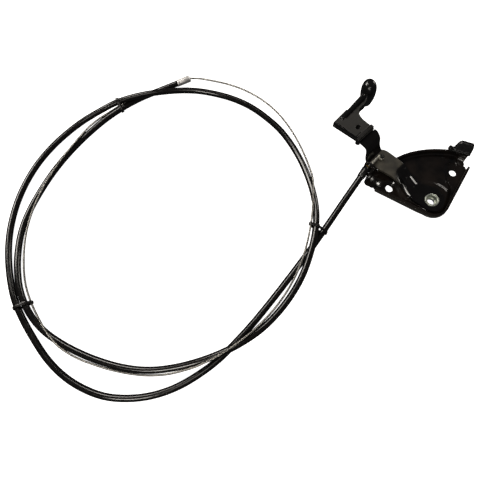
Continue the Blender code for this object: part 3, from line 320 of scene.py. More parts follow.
def smooth_route(points, step):
    """Reads a smooth curve through points at even distances."""
    points = np.array(points, dtype=float)
    padded = np.vstack([2.0 * points[0] - points[1], points, 2.0 * points[-1] - points[-2]])
    fine = []
    for i in range(1, len(padded) - 2):
        p0, p1, p2, p3 = padded[i - 1:i + 3]
        t1 = math.sqrt(np.linalg.norm(p1 - p0))
        t2 = t1 + math.sqrt(np.linalg.norm(p2 - p1))
        t3 = t2 + math.sqrt(np.linalg.norm(p3 - p2))
        for t in np.linspace(t1, t2, CURVE_STEPS, endpoint=False):
            a1 = (t1 - t) / t1 * p0 + t / t1 * p1
            a2 = (t2 - t) / (t2 - t1) * p1 + (t - t1) / (t2 - t1) * p2
            a3 = (t3 - t) / (t3 - t2) * p2 + (t - t2) / (t3 - t2) * p3
            b1 = (t2 - t) / t2 * a1 + t / t2 * a2
            b2 = (t3 - t) / (t3 - t1) * a2 + (t - t1) / (t3 - t1) * a3
            fine.append((t2 - t) / (t2 - t1) * b1 + (t - t1) / (t2 - t1) * b2)
    fine.append(points[-1])
    fine = np.array(fine)
    lengths = np.concatenate([[0.0], np.cumsum(np.linalg.norm(np.diff(fine, axis=0), axis=1))])
    count = max(int(round(lengths[-1] / step)), 1)
    places = np.linspace(0.0, lengths[-1], count + 1)
    return np.stack([np.interp(places, lengths, fine[:, k]) for k in range(fine.shape[1])], axis=1)


def nearest_on(route, point):
    a = route[:-1]
    ab = route[1:] - a
    share = ((point - a) * ab).sum(axis=1) / (ab * ab).sum(axis=1)
    places = a + np.clip(share, 0.0, 1.0)[:, None] * ab
    return places[np.argmin(np.linalg.norm(places - point, axis=1))]


def keep_clear(route, obstacle, gap, floor):
    """Eases a route away from an obstacle's centre line and up from the floor."""
    route = route.copy()
    for _ in range(EASING_PASSES):
        middle = (route[:-2] + route[2:]) / 2.0
        route[2:-1] += EASING * (middle[1:] - route[2:-1])
        for i in range(2, len(route)):
            away = route[i] - nearest_on(obstacle, route[i])
            distance = np.linalg.norm(away)
            if distance < gap:
                route[i] += away / distance * (gap - distance)
        route[2:, 2] = np.maximum(route[2:, 2], floor)
    return route


def offset_path(path, distance):
    """Shifts an open path to its left side."""
    path = np.array(path, dtype=float)
    steps = np.diff(path, axis=0)
    steps /= np.linalg.norm(steps, axis=1)[:, None]
    normals = np.stack([-steps[:, 1], steps[:, 0]], axis=1)
    means = np.vstack([normals[:1], (normals[:-1] + normals[1:]) / 2.0, normals[-1:]])
    return path + means * (distance / (means * means).sum(axis=1))[:, None]


def line_distance(points, a, b):
    a = np.array(a)
    along = np.array(b) - a
    share = np.clip(((points - a) @ along) / (along @ along), 0.0, 1.0)
    return np.linalg.norm(points - a - share[:, None] * along, axis=1)


def inside_distance(points, outline):
    """Distance to a closed outline, positive inside it."""
    outline = np.array(outline, dtype=float)
    nearest = np.full(len(points), np.inf)
    inside = np.zeros(len(points), dtype=bool)
    for a, b in zip(outline, np.roll(outline, -1, axis=0)):
        nearest = np.minimum(nearest, line_distance(points, a, b))
        if a[1] != b[1]:
            straddles = (a[1] > points[:, 1]) != (b[1] > points[:, 1])
            crossing_x = (b[0] - a[0]) * (points[:, 1] - a[1]) / (b[1] - a[1]) + a[0]
            inside ^= straddles & (points[:, 0] < crossing_x)
    return np.where(inside, nearest, -nearest)


def smooth_step(value):
    value = np.clip(value, 0.0, 1.0)
    return value * value * (3.0 - 2.0 * value)


def above(value, edge, fade):
    """1 well above an edge and 0 below it."""
    return smooth_step((value - edge) / fade)


def below(value, edge, fade):
    """1 well below an edge and 0 above it."""
    return smooth_step((edge - value) / fade)


def ramp(value):
    """A step from 0 to 1 with a straight middle and rounded ends."""
    value = np.clip(value, 0.0, 1.0)
    low = np.minimum(value, RAMP_ROUNDING)
    high = np.maximum(value, 1.0 - RAMP_ROUNDING) - (1.0 - RAMP_ROUNDING)
    middle = np.clip(value, RAMP_ROUNDING, 1.0 - RAMP_ROUNDING) - RAMP_ROUNDING
    rise = low * low / (2.0 * RAMP_ROUNDING) + middle + high - high * high / (2.0 * RAMP_ROUNDING)
    return rise / (1.0 - RAMP_ROUNDING)


FAN_LINE = smooth_route(FAN_EDGE, 1.5)


def plate_height(points):
    """Height of the bracket sheet's upper face."""
    step = ramp(inside_distance(points, FAN_LINE) / STEP_HALF_WIDTH / 2.0 + 0.5)
    boss = smooth_step((BOSS_RADIUS - np.linalg.norm(points, axis=1)) / BOSS_STEP + 0.5)
    height = PAD_TOP + (FAN_TOP - PAD_TOP) * step + (BOSS_TOP - FAN_TOP) * boss * step
    crease = np.zeros(len(points))
    for a, b in CREASES:
        crease = np.maximum(crease, smooth_step(1.0 - line_distance(points, a, b) / CREASE_HALF_WIDTH))
    return height + CREASE_HEIGHT * crease


def jog_line(l):
    """Where the lever's crank ends, curved back on the left side."""
    return JOG_END - JOG_CURVE * np.minimum(l, 0.0) ** 2


def lever_height(points):
    """Height of the lever sheet's lower face, in the lever's frame."""
    l, t = points[:, 0], points[:, 1]
    jog = above(t, jog_line(l) - JOG_LENGTH, JOG_LENGTH)
    height = LEVER_LOW + (LEVER_MID - LEVER_LOW) * jog
    height += (LEVER_HIGH - LEVER_MID) * above(t, NECK_START, NECK_END - NECK_START)
    bead = smooth_step(1.0 - line_distance(points, *BEAD_ENDS) / BEAD_HALF_WIDTH)
    return height + BEAD_HEIGHT * bead


def circle(centre, radius, steps):
    angles = np.linspace(0.0, 2.0 * math.pi, steps, endpoint=False)
    return [(centre[0] + radius * math.cos(a), centre[1] + radius * math.sin(a)) for a in angles]


# Shapes

def filled_sheet(loops, cell):
    """A flat sheet of square cells inside an outline and its holes, filled out to them by triangles."""
    corners = np.array(loops[0])
    low, high = corners.min(axis=0), corners.max(axis=0)
    counts = np.ceil((high - low) / cell).astype(int)
    bm = bmesh.new()
    bmesh.ops.create_grid(bm, x_segments=int(counts[0]), y_segments=int(counts[1]), size=0.5)
    bmesh.ops.scale(bm, vec=(*(counts * cell), 1.0), verts=bm.verts)
    bmesh.ops.translate(bm, vec=(*((low + high) / 2.0), 0.0), verts=bm.verts)
    places = np.array([vert.co[:2] for vert in bm.verts])
    depth = inside_distance(places, loops[0])
    for hole in loops[1:]:
        depth = np.minimum(depth, -inside_distance(places, hole))
    spare = [vert for vert, distance in zip(bm.verts, depth) if distance < cell * 0.5]
    while spare:
        bmesh.ops.delete(bm, geom=spare, context="VERTS")
        spare = [vert for vert in bm.verts
                 if not vert.link_faces or sum(edge.is_boundary for edge in vert.link_edges) > 2]
    bmesh.ops.delete(bm, geom=[edge for edge in bm.edges if not edge.link_faces], context="EDGES")
    edges = [edge for edge in bm.edges if edge.is_boundary]
    for loop in loops:
        ring = [bm.verts.new((x, y, 0.0)) for x, y in loop]
        edges += [bm.edges.new(pair) for pair in zip(ring, ring[1:] + ring[:1])]
    bmesh.ops.triangle_fill(bm, use_beauty=True, use_dissolve=False, edges=edges)
    bmesh.ops.recalc_face_normals(bm, faces=bm.faces)
    return bm


def press(bm, height):
    """Raises a flat cell sheet to its height and makes its faces look up."""
    places = np.array([vert.co[:2] for vert in bm.verts])
    for vert, z in zip(bm.verts, height(places)):
        vert.co.z = z
    bm.normal_update()
    if sum(face.normal.z for face in bm.faces) < 0.0:
        bmesh.ops.reverse_faces(bm, faces=bm.faces)


def raise_wall(bm, foot, bend, top, drawn):
    """Bends the sheet's edge up along a foot line that has the sheet on its left, and marks its face."""
    samples = np.array(foot)
    inner = offset_path(samples, 1.0) - samples
    outward = -inner / np.linalg.norm(inner, axis=1)[:, None]
    base = bm.verts.layers.float_vector.new("foot")
    way = bm.verts.layers.float_vector.new("way")
    marks = bm.verts.layers.float.get("drawn") or bm.verts.layers.float.new("drawn")
    on_foot = set()
    for vert in bm.verts:
        if vert.is_boundary:
            gaps = np.linalg.norm(samples - np.array(vert.co[:2]), axis=1)
            nearest = nearest_on(samples, np.array(vert.co[:2]))
            if np.linalg.norm(nearest - np.array(vert.co[:2])) < FOOT_REACH:
                on_foot.add(vert)
                vert[base] = vert.co
                vert[way] = (*outward[np.argmin(gaps)], 0.0)
    edges = [edge for edge in bm.edges if edge.is_boundary and set(edge.verts) <= on_foot]
    rings = [("bend", math.radians(a)) for a in range(15, 91, 15)]
    rings += [("wall", share) for share in (0.33, 0.67, 1.0)]
    for kind, value in rings:
        made = bmesh.ops.extrude_edge_only(bm, edges=edges)["geom"]
        edges = [item for item in made if isinstance(item, bmesh.types.BMEdge)]
        for vert in (item for item in made if isinstance(item, bmesh.types.BMVert)):
            start = vert[base].copy()
            if kind == "bend":
                vert.co = start + vert[way] * bend * math.sin(value)
                vert.co.z = start.z + bend * (1.0 - math.cos(value))
            else:
                vert.co = start + vert[way] * bend
                foot_z = start.z + bend
                vert.co.z = foot_z + (top(vert.co.x, vert.co.y) - foot_z) * value
                vert[marks] = drawn if value < 1.0 else 0.0
    bm.verts.layers.float_vector.remove(bm.verts.layers.float_vector["foot"])
    bm.verts.layers.float_vector.remove(bm.verts.layers.float_vector["way"])


def vertices(items):
    return [item for item in items if isinstance(item, bmesh.types.BMVert)]


def shifted(bm, x, y, z):
    bmesh.ops.translate(bm, vec=(x, y, z), verts=bm.verts)
    return bm


def box(x, y, z):
    bm = bmesh.new()
    bmesh.ops.create_cube(bm, size=1.0)
    bmesh.ops.scale(bm, vec=[high - low for low, high in (x, y, z)], verts=bm.verts)
    return shifted(bm, *[(high + low) / 2.0 for low, high in (x, y, z)])


def prism(outline, z0, z1):
    bm = bmesh.new()
    face = bm.faces.new([bm.verts.new((x, y, z0)) for x, y in outline])
    made = bmesh.ops.extrude_face_region(bm, geom=[face])["geom"]
    bmesh.ops.translate(bm, vec=(0.0, 0.0, z1 - z0), verts=vertices(made))
    bmesh.ops.recalc_face_normals(bm, faces=bm.faces)
    return bm


def round_off(bm, width, segments, angle=30.0):
    """Rounds every edge sharper than an angle."""
    sharp = [edge for edge in bm.edges
             if len(edge.link_faces) == 2 and edge.calc_face_angle(0.0) > math.radians(angle)]
    bmesh.ops.bevel(bm, geom=sharp, offset=width, offset_type="OFFSET", segments=segments, profile=0.5,
                    affect="EDGES", material=-1, clamp_overlap=True)
    return bm


def welded(bm):
    bmesh.ops.remove_doubles(bm, verts=bm.verts, dist=WELD_DISTANCE)
    bmesh.ops.recalc_face_normals(bm, faces=bm.faces)
    return bm


def turned(profile, steps=64):
    """Turns a closed profile of (radius, height) round Z."""
    bm = bmesh.new()
    verts = [bm.verts.new((radius, 0.0, height)) for radius, height in profile]
    edges = [bm.edges.new(pair) for pair in zip(verts, verts[1:] + verts[:1])]
    bmesh.ops.spin(bm, geom=verts + edges, cent=(0, 0, 0), axis=(0, 0, 1), angle=2.0 * math.pi,
                   steps=steps, use_merge=True)
    return welded(bm)


def moved(bm, matrix):
    bmesh.ops.transform(bm, matrix=matrix, verts=bm.verts)
    return bm


def lay_along(bm, origin, direction):
    turn = Vector(direction).to_track_quat("Z", "Y").to_matrix().to_4x4()
    return moved(bm, Matrix.Translation(Vector(origin)) @ turn)


def on_cable_axis(bm):
    return lay_along(bm, (0.0, AXIS_T, AXIS_Z), (1.0, 0.0, 0.0))


def as_mesh(name, bm):
    """Hands a shape over as mesh data."""
    mesh = bpy.data.meshes.new(name)
    bm.to_mesh(mesh)
    bm.free()
    return mesh


def linked(name, data):
    """A new object in the scene."""
    obj = bpy.data.objects.new(name, data)
    bpy.context.scene.collection.objects.link(obj)
    return obj


def joined(shapes):
    bm = bmesh.new()
    for shape in shapes:
        mesh = as_mesh("shape", shape)
        bm.from_mesh(mesh)
        bpy.data.meshes.remove(mesh)
    return bm


def evaluated(obj):
    depsgraph = bpy.context.evaluated_depsgraph_get()
    depsgraph.update()
    return obj.evaluated_get(depsgraph)


def modified(obj, kind, **settings):
    modifier = obj.modifiers.new(kind.title(), kind)
    for name, value in settings.items():
        setattr(modifier, name, value)


def baked(bm, kind, **settings):
    """Runs one modifier on a shape and returns the result as a shape."""
    mesh = as_mesh("shape", bm)
    obj = linked("shape", mesh)
    modified(obj, kind, **settings)
    result = bmesh.new()
    result.from_mesh(evaluated(obj).data)
    bpy.data.objects.remove(obj)
    bpy.data.meshes.remove(mesh)
    return result


def cut_out(bm, cutter):
    mesh = as_mesh("cutter", cutter)
    tool = linked("cutter", mesh)
    result = baked(bm, "BOOLEAN", operation="DIFFERENCE", solver="EXACT", object=tool)
    bpy.data.objects.remove(tool)
    bpy.data.meshes.remove(mesh)
    return result


def moulded(shapes, voxel):
    """Melts overlapping shapes into one moulded skin with small fillets."""
    bm = baked(joined(shapes), "REMESH", mode="VOXEL", voxel_size=voxel, adaptivity=0.0)
    for _ in range(SKIN_PASSES):
        bmesh.ops.smooth_vert(bm, verts=bm.verts, factor=0.5, use_axis_x=True, use_axis_y=True,
                              use_axis_z=True)
    return bm


def round_curve(name, points, radius, resolution):
    curve = bpy.data.curves.new(name, "CURVE")
    curve.dimensions = "3D"
    curve.bevel_depth = radius
    curve.bevel_resolution = resolution
    curve.use_fill_caps = True
    curve.twist_mode = "Z_UP"
    spline = curve.splines.new("POLY")
    spline.points.add(len(points) - 1)
    for point, place in zip(spline.points, points):
        point.co = (place[0], place[1], place[2], 1.0)
    return curve


def curve_shape(points, radius, resolution):
    """A round bar along points, as a shape in millimetres."""
    obj = linked("bar", round_curve("bar", points, radius, resolution))
    mesh = bpy.data.meshes.new_from_object(evaluated(obj))
    bm = bmesh.new()
    bm.from_mesh(mesh)
    bpy.data.objects.remove(obj)
    bpy.data.meshes.remove(mesh)
    return welded(bm)


def registered(obj, material, body, replaces):
    obj.data.materials.append(material)
    if body:
        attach(obj, body)
    if replaces:
        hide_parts(*replaces)
    return obj


def piece(name, bm, material, body, replaces=(), in_lever_frame=False):
    """Puts a drawn shape in its place and makes it a piece of the part."""
    if in_lever_frame:
        bmesh.ops.rotate(bm, verts=bm.verts, cent=(0, 0, 0), matrix=Matrix.Rotation(LEVER_ANGLE, 3, "Z"))
    bmesh.ops.scale(shifted(bm, *PIVOT), vec=(MM, MM, MM), verts=bm.verts)
    for face in bm.faces:
        face.smooth = True
    return registered(linked(name, as_mesh(name, bm)), material, body, replaces)


def thicken(obj, thickness, offset):
    modified(obj, "SOLIDIFY", thickness=thickness * MM, offset=offset, use_even_offset=True,
             use_quality_normals=True)


def soften(obj, width, segments, angle=40.0):
    modified(obj, "BEVEL", width=width * MM, segments=segments, limit_method="ANGLE",
             angle_limit=math.radians(angle), use_clamp_overlap=True, harden_normals=False)


# Finishes

def linear(code):
    values = [int(code[i:i + 2], 16) / 255.0 for i in (1, 3, 5)]
    return tuple(v / 12.92 if v <= 0.04045 else ((v + 0.055) / 1.055) ** 2.4 for v in values) + (1.0,)


class Finish:
    """A Principled material in the making, with its patterns sized in millimetres on the object."""

    def __init__(self, name, **values):
        self.material = bpy.data.materials.new(name)
        self.material.use_nodes = True
        self.tree = self.material.node_tree
        self.sockets = self.tree.nodes["Principled BSDF"].inputs
        for key, value in values.items():
            self.sockets[key].default_value = value
        self.place = self.add("ShaderNodeTexCoord", output="Object")

    def feed(self, socket, value):
        """Links a socket, or gives it a fixed value."""
        if isinstance(value, bpy.types.NodeSocket):
            self.tree.links.new(value, socket)
        else:
            socket.default_value = value

    def add(self, kind, sockets=None, output=0, **settings):
        """Adds a node with its settings, values and links, and returns one of its outputs."""
        made = self.tree.nodes.new(kind)
        for name, value in settings.items():
            setattr(made, name, value)
        for key, value in (sockets or {}).items():
            self.feed(made.inputs[key], value)
        return made.outputs[output]

    def sized(self, size_mm, detail=3.0):
        """What a noise needs to have features of a real size."""
        return {"Vector": self.place, "Scale": 1.0 / (size_mm * MM), "Detail": detail}

    def uneven(self, size_mm, low, high, detail=3.0, seen=(0.3, 0.7)):
        """A value that wanders between two limits; noise lies mostly between 0.3 and 0.7."""
        noise = self.add("ShaderNodeTexNoise", self.sized(size_mm, detail))
        return self.add("ShaderNodeMapRange", {"Value": noise, "From Min": seen[0], "From Max": seen[1],
                                               "To Min": low, "To Max": high})

    def mottled(self, size_mm, detail, dark, light):
        """Two colours that run into each other in patches of a real size."""
        share = self.uneven(size_mm, 0.0, 1.0, detail)
        return self.add("ShaderNodeMix", {0: share, 6: linear(dark), 7: linear(light)}, 2, data_type="RGBA")

    def stripes(self, heading, pitch_mm, trough, crest, strength):
        """Shares that rise and fall along a direction at a real pitch, cut off at trough and crest."""
        along = self.add("ShaderNodeVectorMath", {0: self.place, 1: heading}, "Value",
                         operation="DOT_PRODUCT")
        turns = self.add("ShaderNodeMath", {0: along, 1: 2.0 * math.pi / (pitch_mm * MM)},
                         operation="MULTIPLY")
        wave = self.add("ShaderNodeMath", {0: turns}, operation="SINE")
        return self.add("ShaderNodeMapRange", {"Value": wave, "From Min": trough, "From Max": crest,
                                               "To Min": 0.0, "To Max": strength})

    def done(self, colour, roughness, relief=None, depth_mm=0.0):
        """Gives the shader its colour, roughness and fine relief."""
        self.feed(self.sockets["Base Color"], colour)
        self.feed(self.sockets["Roughness"], roughness)
        if relief:
            bump = self.add("ShaderNodeBump", {"Height": relief, "Distance": depth_mm * MM, "Strength": 1.0})
            self.feed(self.sockets["Normal"], bump)
        return self.material


def gloss_electrocoat():
    """Dipped black paint on pressed steel: glossy, slightly brown where thin, with a faint ripple.

    The folded flange keeps the upright marks of the press on its dull outer face.
    """
    coat = Finish("gloss_black_electrocoat", IOR=1.5)
    dust = coat.uneven(0.7, 0.0, 0.2, 2.0, (0.62, 0.8))
    tint = coat.mottled(14.0, 3.0, "#080707", "#1a1512")
    paint = coat.add("ShaderNodeMix", {0: dust, 6: tint, 7: linear("#2f2b26")}, 2, data_type="RGBA")
    drawn = coat.add("ShaderNodeAttribute", output="Fac", attribute_name="drawn")
    wave = coat.stripes(FLANGE_HEADING, DRAW_MARK_PITCH, -0.6, 0.9, 1.0)
    marks = coat.add("ShaderNodeMix", {0: wave, 6: linear("#1b1815"), 7: linear("#4a463f")}, 2,
                     data_type="RGBA")
    colour = coat.add("ShaderNodeMix", {0: drawn, 6: paint, 7: marks}, 2, data_type="RGBA")
    rough = coat.add("ShaderNodeMath", {0: drawn, 1: 0.35, 2: coat.uneven(5.0, 0.1, 0.2)},
                     operation="MULTIPLY_ADD")
    return coat.done(colour, rough, coat.add("ShaderNodeTexNoise", coat.sized(1.6, 2.0)), 0.005)


def satin_electrocoat():
    """The same paint on the lever: duller and olive grey on the raised flat where hands and dust reach, the
    olive partly real wear and dust and partly a painted sheen for the light the flat catches.
    """
    coat = Finish("satin_black_electrocoat", IOR=1.5)
    wear_and_sheen = coat.add("ShaderNodeAttribute", output="Fac", attribute_name="wear_and_sheen")
    worn_and_sheen = coat.mottled(9.0, 4.0, "#1b1813", "#39352c")
    colour = coat.add("ShaderNodeMix", {0: wear_and_sheen, 6: linear("#090808"), 7: worn_and_sheen}, 2, data_type="RGBA")
    rough = coat.add("ShaderNodeMath", {0: wear_and_sheen, 1: 0.34, 2: coat.uneven(5.0, 0.12, 0.2)},
                     operation="MULTIPLY_ADD")
    return coat.done(colour, rough, coat.add("ShaderNodeTexNoise", coat.sized(1.4)), 0.006)


def zinc_plate():
    """Zinc on turned steel: pale, faintly green, satin, with a fine grain."""
    zinc = Finish("zinc_plated_steel", Metallic=1.0)
    tint = zinc.mottled(1.2, 4.0, "#a9aea2", "#c9cdc2")
    grain = zinc.add("ShaderNodeTexNoise", zinc.sized(0.5))
    return zinc.done(tint, zinc.uneven(0.8, 0.36, 0.5), grain, 0.006)


def moulded_nylon():
    """Injection-moulded nylon: black and smooth, with a dull, dusty, fine-ribbed upper face."""
    nylon = Finish("moulded_black_nylon", IOR=1.53)
    face = nylon.add("ShaderNodeAttribute", output="Fac", attribute_name="dull_face")
    ribs = nylon.stripes(LEVER_SIDE, FINE_RIB_PITCH, -1.0, 1.0, 0.5)
    dusty = nylon.mottled(4.0, 4.0, "#0f0e0c", "#171512")
    ribbed = nylon.add("ShaderNodeMix", {0: ribs, 6: dusty, 7: linear("#1f1d19")}, 2, data_type="RGBA")
    colour = nylon.add("ShaderNodeMix", {0: face, 6: linear("#0b0a0a"), 7: ribbed}, 2, data_type="RGBA")
    rough = nylon.add("ShaderNodeMath", {0: face, 1: 0.3, 2: nylon.uneven(2.0, 0.16, 0.26)},
                      operation="MULTIPLY_ADD")
    return nylon.done(colour, rough, nylon.add("ShaderNodeTexNoise", nylon.sized(0.6, 2.0)), 0.006)


def moulded_rubber():
    """Soft moulded stop: black, smooth, with a dull shine."""
    rubber = Finish("moulded_stop_rubber", IOR=1.52)
    tint = rubber.mottled(3.0, 3.0, "#080808", "#121110")
    grain = rubber.add("ShaderNodeTexNoise", rubber.sized(0.8, 2.0))
    return rubber.done(tint, rubber.uneven(1.5, 0.16, 0.26), grain, 0.004)


def extruded_plastic(name, dark, light, low, high):
    """Drawn or moulded cable plastic: black with a soft lengthwise shine and light scuffs."""
    plastic = Finish(name, IOR=1.5)
    scuff = plastic.uneven(1.1, 0.0, 0.3, 5.0, (0.63, 0.78))
    tint = plastic.mottled(9.0, 4.0, dark, light)
    colour = plastic.add("ShaderNodeMix", {0: scuff, 6: tint, 7: linear("#2b2926")}, 2, data_type="RGBA")
    grain = plastic.add("ShaderNodeTexNoise", plastic.sized(0.8, 2.0))
    return plastic.done(colour, plastic.uneven(4.0, low, high), grain, 0.004)


def tarnished_brass():
    """Plain turned brass, browned by tarnish."""
    brass = Finish("turned_brass", Metallic=1.0)
    return brass.done(brass.mottled(0.9, 3.0, "#1d160a", "#54431f"), brass.uneven(0.6, 0.24, 0.4))


def bright_metal(name, dark, light, low, high):
    """Pressed or drawn steel: shining, with small press marks."""
    metal = Finish(name, Metallic=1.0)
    grain = metal.add("ShaderNodeTexNoise", metal.sized(0.5))
    return metal.done(metal.mottled(1.0, 4.0, dark, light), metal.uneven(0.7, low, high), grain, 0.01)


def stranded_wire():
    """Laid steel strands: grey, with slanting light and dark bands along the lay, a painted highlight on
    each strand's crown and painted shade in the grooves between, drawn coarse enough to show.
    """
    steel = Finish("stranded_steel_wire", Metallic=1.0)
    lay = steel.add("ShaderNodeAttribute", output="Fac", attribute_name="lay")
    turns = steel.add("ShaderNodeMath", {0: lay, 1: 2.0 * math.pi}, operation="MULTIPLY")
    wave = steel.add("ShaderNodeMath", {0: turns}, operation="SINE")
    strand = steel.add("ShaderNodeMapRange", {"Value": wave, "From Min": -1.0, "From Max": 1.0,
                                              "To Min": 0.0, "To Max": 1.0})
    # Light bands are a painted highlight on each strand's crown, dark bands painted shade in the grooves
    # between strands.
    tint = steel.add("ShaderNodeMix", {0: strand, 6: linear("#77746e"), 7: linear("#aeaba5")}, 2,
                     data_type="RGBA")
    return steel.done(tint, steel.uneven(1.5, 0.3, 0.45), strand, 0.12)


GLOSS_PAINT = gloss_electrocoat()
SATIN_PAINT = satin_electrocoat()
ZINC = zinc_plate()
NYLON = moulded_nylon()
BUMPER = moulded_rubber()
JACKET = extruded_plastic("extruded_cable_jacket", "#080707", "#131110", 0.13, 0.22)
SLEEVE = extruded_plastic("shrunk_black_sleeve", "#090808", "#141312", 0.2, 0.32)
COLLAR_PLASTIC = extruded_plastic("smooth_dark_acetal", "#131312", "#201f1d", 0.22, 0.34)
TIE_NYLON = extruded_plastic("black_tie_nylon", "#0a0909", "#141211", 0.24, 0.36)
BRASS = tarnished_brass()
FERRULE_METAL = bright_metal("drawn_bright_ferrule", "#d4d1d0", "#f2f0ee", 0.46, 0.6)
CRIMP_METAL = bright_metal("pressed_bright_crimp", "#a5a297", "#dcd9cd", 0.38, 0.52)
# Dark steel for the pin and for the short wire by the collar; the pin head's darkness is partly a painted
# shadow of the gap round it.
PIN_METAL = bright_metal("dark_pin_steel_with_painted_gap_shade", "#2a2a29", "#4a4946", 0.28, 0.44)
WIRE_METAL = stranded_wire()


# Bracket

def corner_arc(steps):
    angles = np.radians(np.linspace(*CORNER_ANGLES, steps + 1))
    return np.array(CORNER_CENTRE) + CORNER_RADIUS * np.stack([np.cos(angles), np.sin(angles)], axis=1)


def wall_top(x, y):
    """The rim's top, rising to the cable holder at its left end."""
    l = (x + y) * math.cos(LEVER_ANGLE)
    t = (y - x) * math.cos(LEVER_ANGLE)
    if t < RIM_END_T:
        return RIM_TOP
    return RIM_TOP + (HOLDER_TOP - RIM_TOP) * float(below(l, HOLDER_RISE_L, HOLDER_RISE))


def build_bracket():
    holder = [lever_to_pivot(l, HOLDER_FACE_T) for l in HOLDER_LINE]
    rim = smooth_route(RIM_PATH + holder, RIM_STEP)
    rim_foot = offset_path(rim, SHEET + RIM_BEND)
    corner = corner_arc(30)
    flange = np.vstack([smooth_route([FLANGE_LEFT, corner[0]], FLANGE_STEP)[:-1], corner,
                        smooth_route([corner[-1], FLANGE_RIGHT], FLANGE_STEP)[1:]])
    flange_foot = offset_path(flange, SHEET + FLANGE_BEND)
    outline = [tuple(p) for p in rim_foot] + LEFT_END + [tuple(p) for p in flange_foot] + NOTCH
    holes = [circle(centre, BOLT_HOLE_RADIUS, 48) for centre in BOLT_HOLES]
    holes.append(circle((0.0, 0.0), PIVOT_HOLE_RADIUS, 64))
    sheet = filled_sheet([outline] + holes, PLATE_CELL)
    press(sheet, plate_height)
    raise_wall(sheet, rim_foot, RIM_BEND, wall_top, 0.0)
    raise_wall(sheet, flange_foot, FLANGE_BEND, lambda x, y: FLANGE_TOP, 1.0)
    plate = piece("pressed_bracket", sheet, GLOSS_PAINT, "bracket", ["base_plate"])
    thicken(plate, SHEET, -1.0)
    soften(plate, 0.3, 2)


def build_tab():
    """The slotted tab that the cable's collar sits in, drawn in T and Z and stood across L."""
    slot = [(TAB_END_T, TAB_FOOT), (TAB_END_T, TAB_TOP), (AXIS_T + SLOT_HALF_WIDTH, TAB_TOP)]
    slot += [(AXIS_T + SLOT_HALF_WIDTH * math.cos(angle), AXIS_Z + SLOT_HALF_WIDTH * math.sin(angle))
             for angle in np.linspace(0.0, -math.pi, 13)]
    slot += [(AXIS_T - SLOT_HALF_WIDTH, TAB_TOP), (TAB_START_T, TAB_TOP), (TAB_START_T, TAB_FOOT)]
    upright = Matrix(((0.0, 0.0, 1.0), (1.0, 0.0, 0.0), (0.0, 1.0, 0.0))).to_4x4()
    tab = piece("slotted_cable_tab", moved(prism(slot, *TAB), upright), GLOSS_PAINT, "bracket",
                in_lever_frame=True)
    soften(tab, 0.3, 2)


def build_bumper():
    collar = round_off(box(*BUMPER_COLLAR), 0.9, 3)
    head = prism(BUMPER_HEAD_SIDE, 0.0, 1.0)
    for vert in head.verts:
        line = np.array(BUMPER_HEAD_BACK if vert.co.z > 0.5 else BUMPER_HEAD_FRONT)
        vert.co = (vert.co.x, np.interp(vert.co.y, line[:, 0], line[:, 1]), vert.co.y)
    bmesh.ops.recalc_face_normals(head, faces=head.faces)
    lug_x, lug_y, radius = BUMPER_LUG
    lug = round_off(turned([(0.0, BUMPER_LUG_FOOT), (radius, BUMPER_LUG_FOOT), (radius, BUMPER_LUG_TOP),
                            (0.0, BUMPER_LUG_TOP)], 32), 0.6, 3)
    skin = moulded([collar, round_off(head, 0.5, 2), shifted(lug, lug_x, lug_y, 0.0)], BUMPER_VOXEL)
    bmesh.ops.rotate(skin, verts=skin.verts, cent=(0, 0, 0), matrix=Matrix.Rotation(BUMPER_ANGLE, 3, "Z"))
    piece("rubber_stop", shifted(skin, *BUMPER_CENTRE, 0.0), BUMPER, "bracket",
          ["stop_bumper"])


def build_rivet():
    rivet = piece("hollow_rivet", turned(RIVET_PROFILE, 80), ZINC, "bracket", ["pivot_rivet"])
    soften(rivet, 0.12, 2, 25.0)


# Lever and grip

def build_lever():
    edge = smooth_route(set_off(NECK_RIGHT, NECK_START) + LEVER_RIGHT + LEVER_LEFT
                        + set_off(NECK_LEFT, NECK_START), LEVER_STEP)
    outline = [tuple(p) for p in edge] + set_off(TONGUE, GRIP_START)
    holes = [circle((0.0, 0.0), PIVOT_HOLE_RADIUS, 64), circle((PIN_L, PIN_T), PIN_HOLE_RADIUS, 28)]
    sheet = filled_sheet([outline] + holes, LEVER_CELL)
    places = np.array([vert.co[:2] for vert in sheet.verts])
    l, t = places[:, 0], places[:, 1]
    # The olive flat runs from the crank to the neck: part dust and wear, part painted sheen for the light
    # the raised flat catches.
    wear_and_sheen = above(t, jog_line(l) - WEAR_AND_SHEEN_BEFORE_CRANK, WEAR_AND_SHEEN_FADE)
    wear_and_sheen *= below(t, NECK_START + WEAR_AND_SHEEN_PAST_NECK, WEAR_AND_SHEEN_FADE)
    press(sheet, lever_height)
    layer = sheet.verts.layers.float.new("wear_and_sheen")
    for vert, value in zip(sheet.verts, wear_and_sheen):
        vert[layer] = value
    lever = piece("cranked_lever", sheet, SATIN_PAINT, "lever", ["lever_arm"],
                  in_lever_frame=True)
    thicken(lever, LEVER_SHEET, 1.0)
    soften(lever, 0.6, 3)


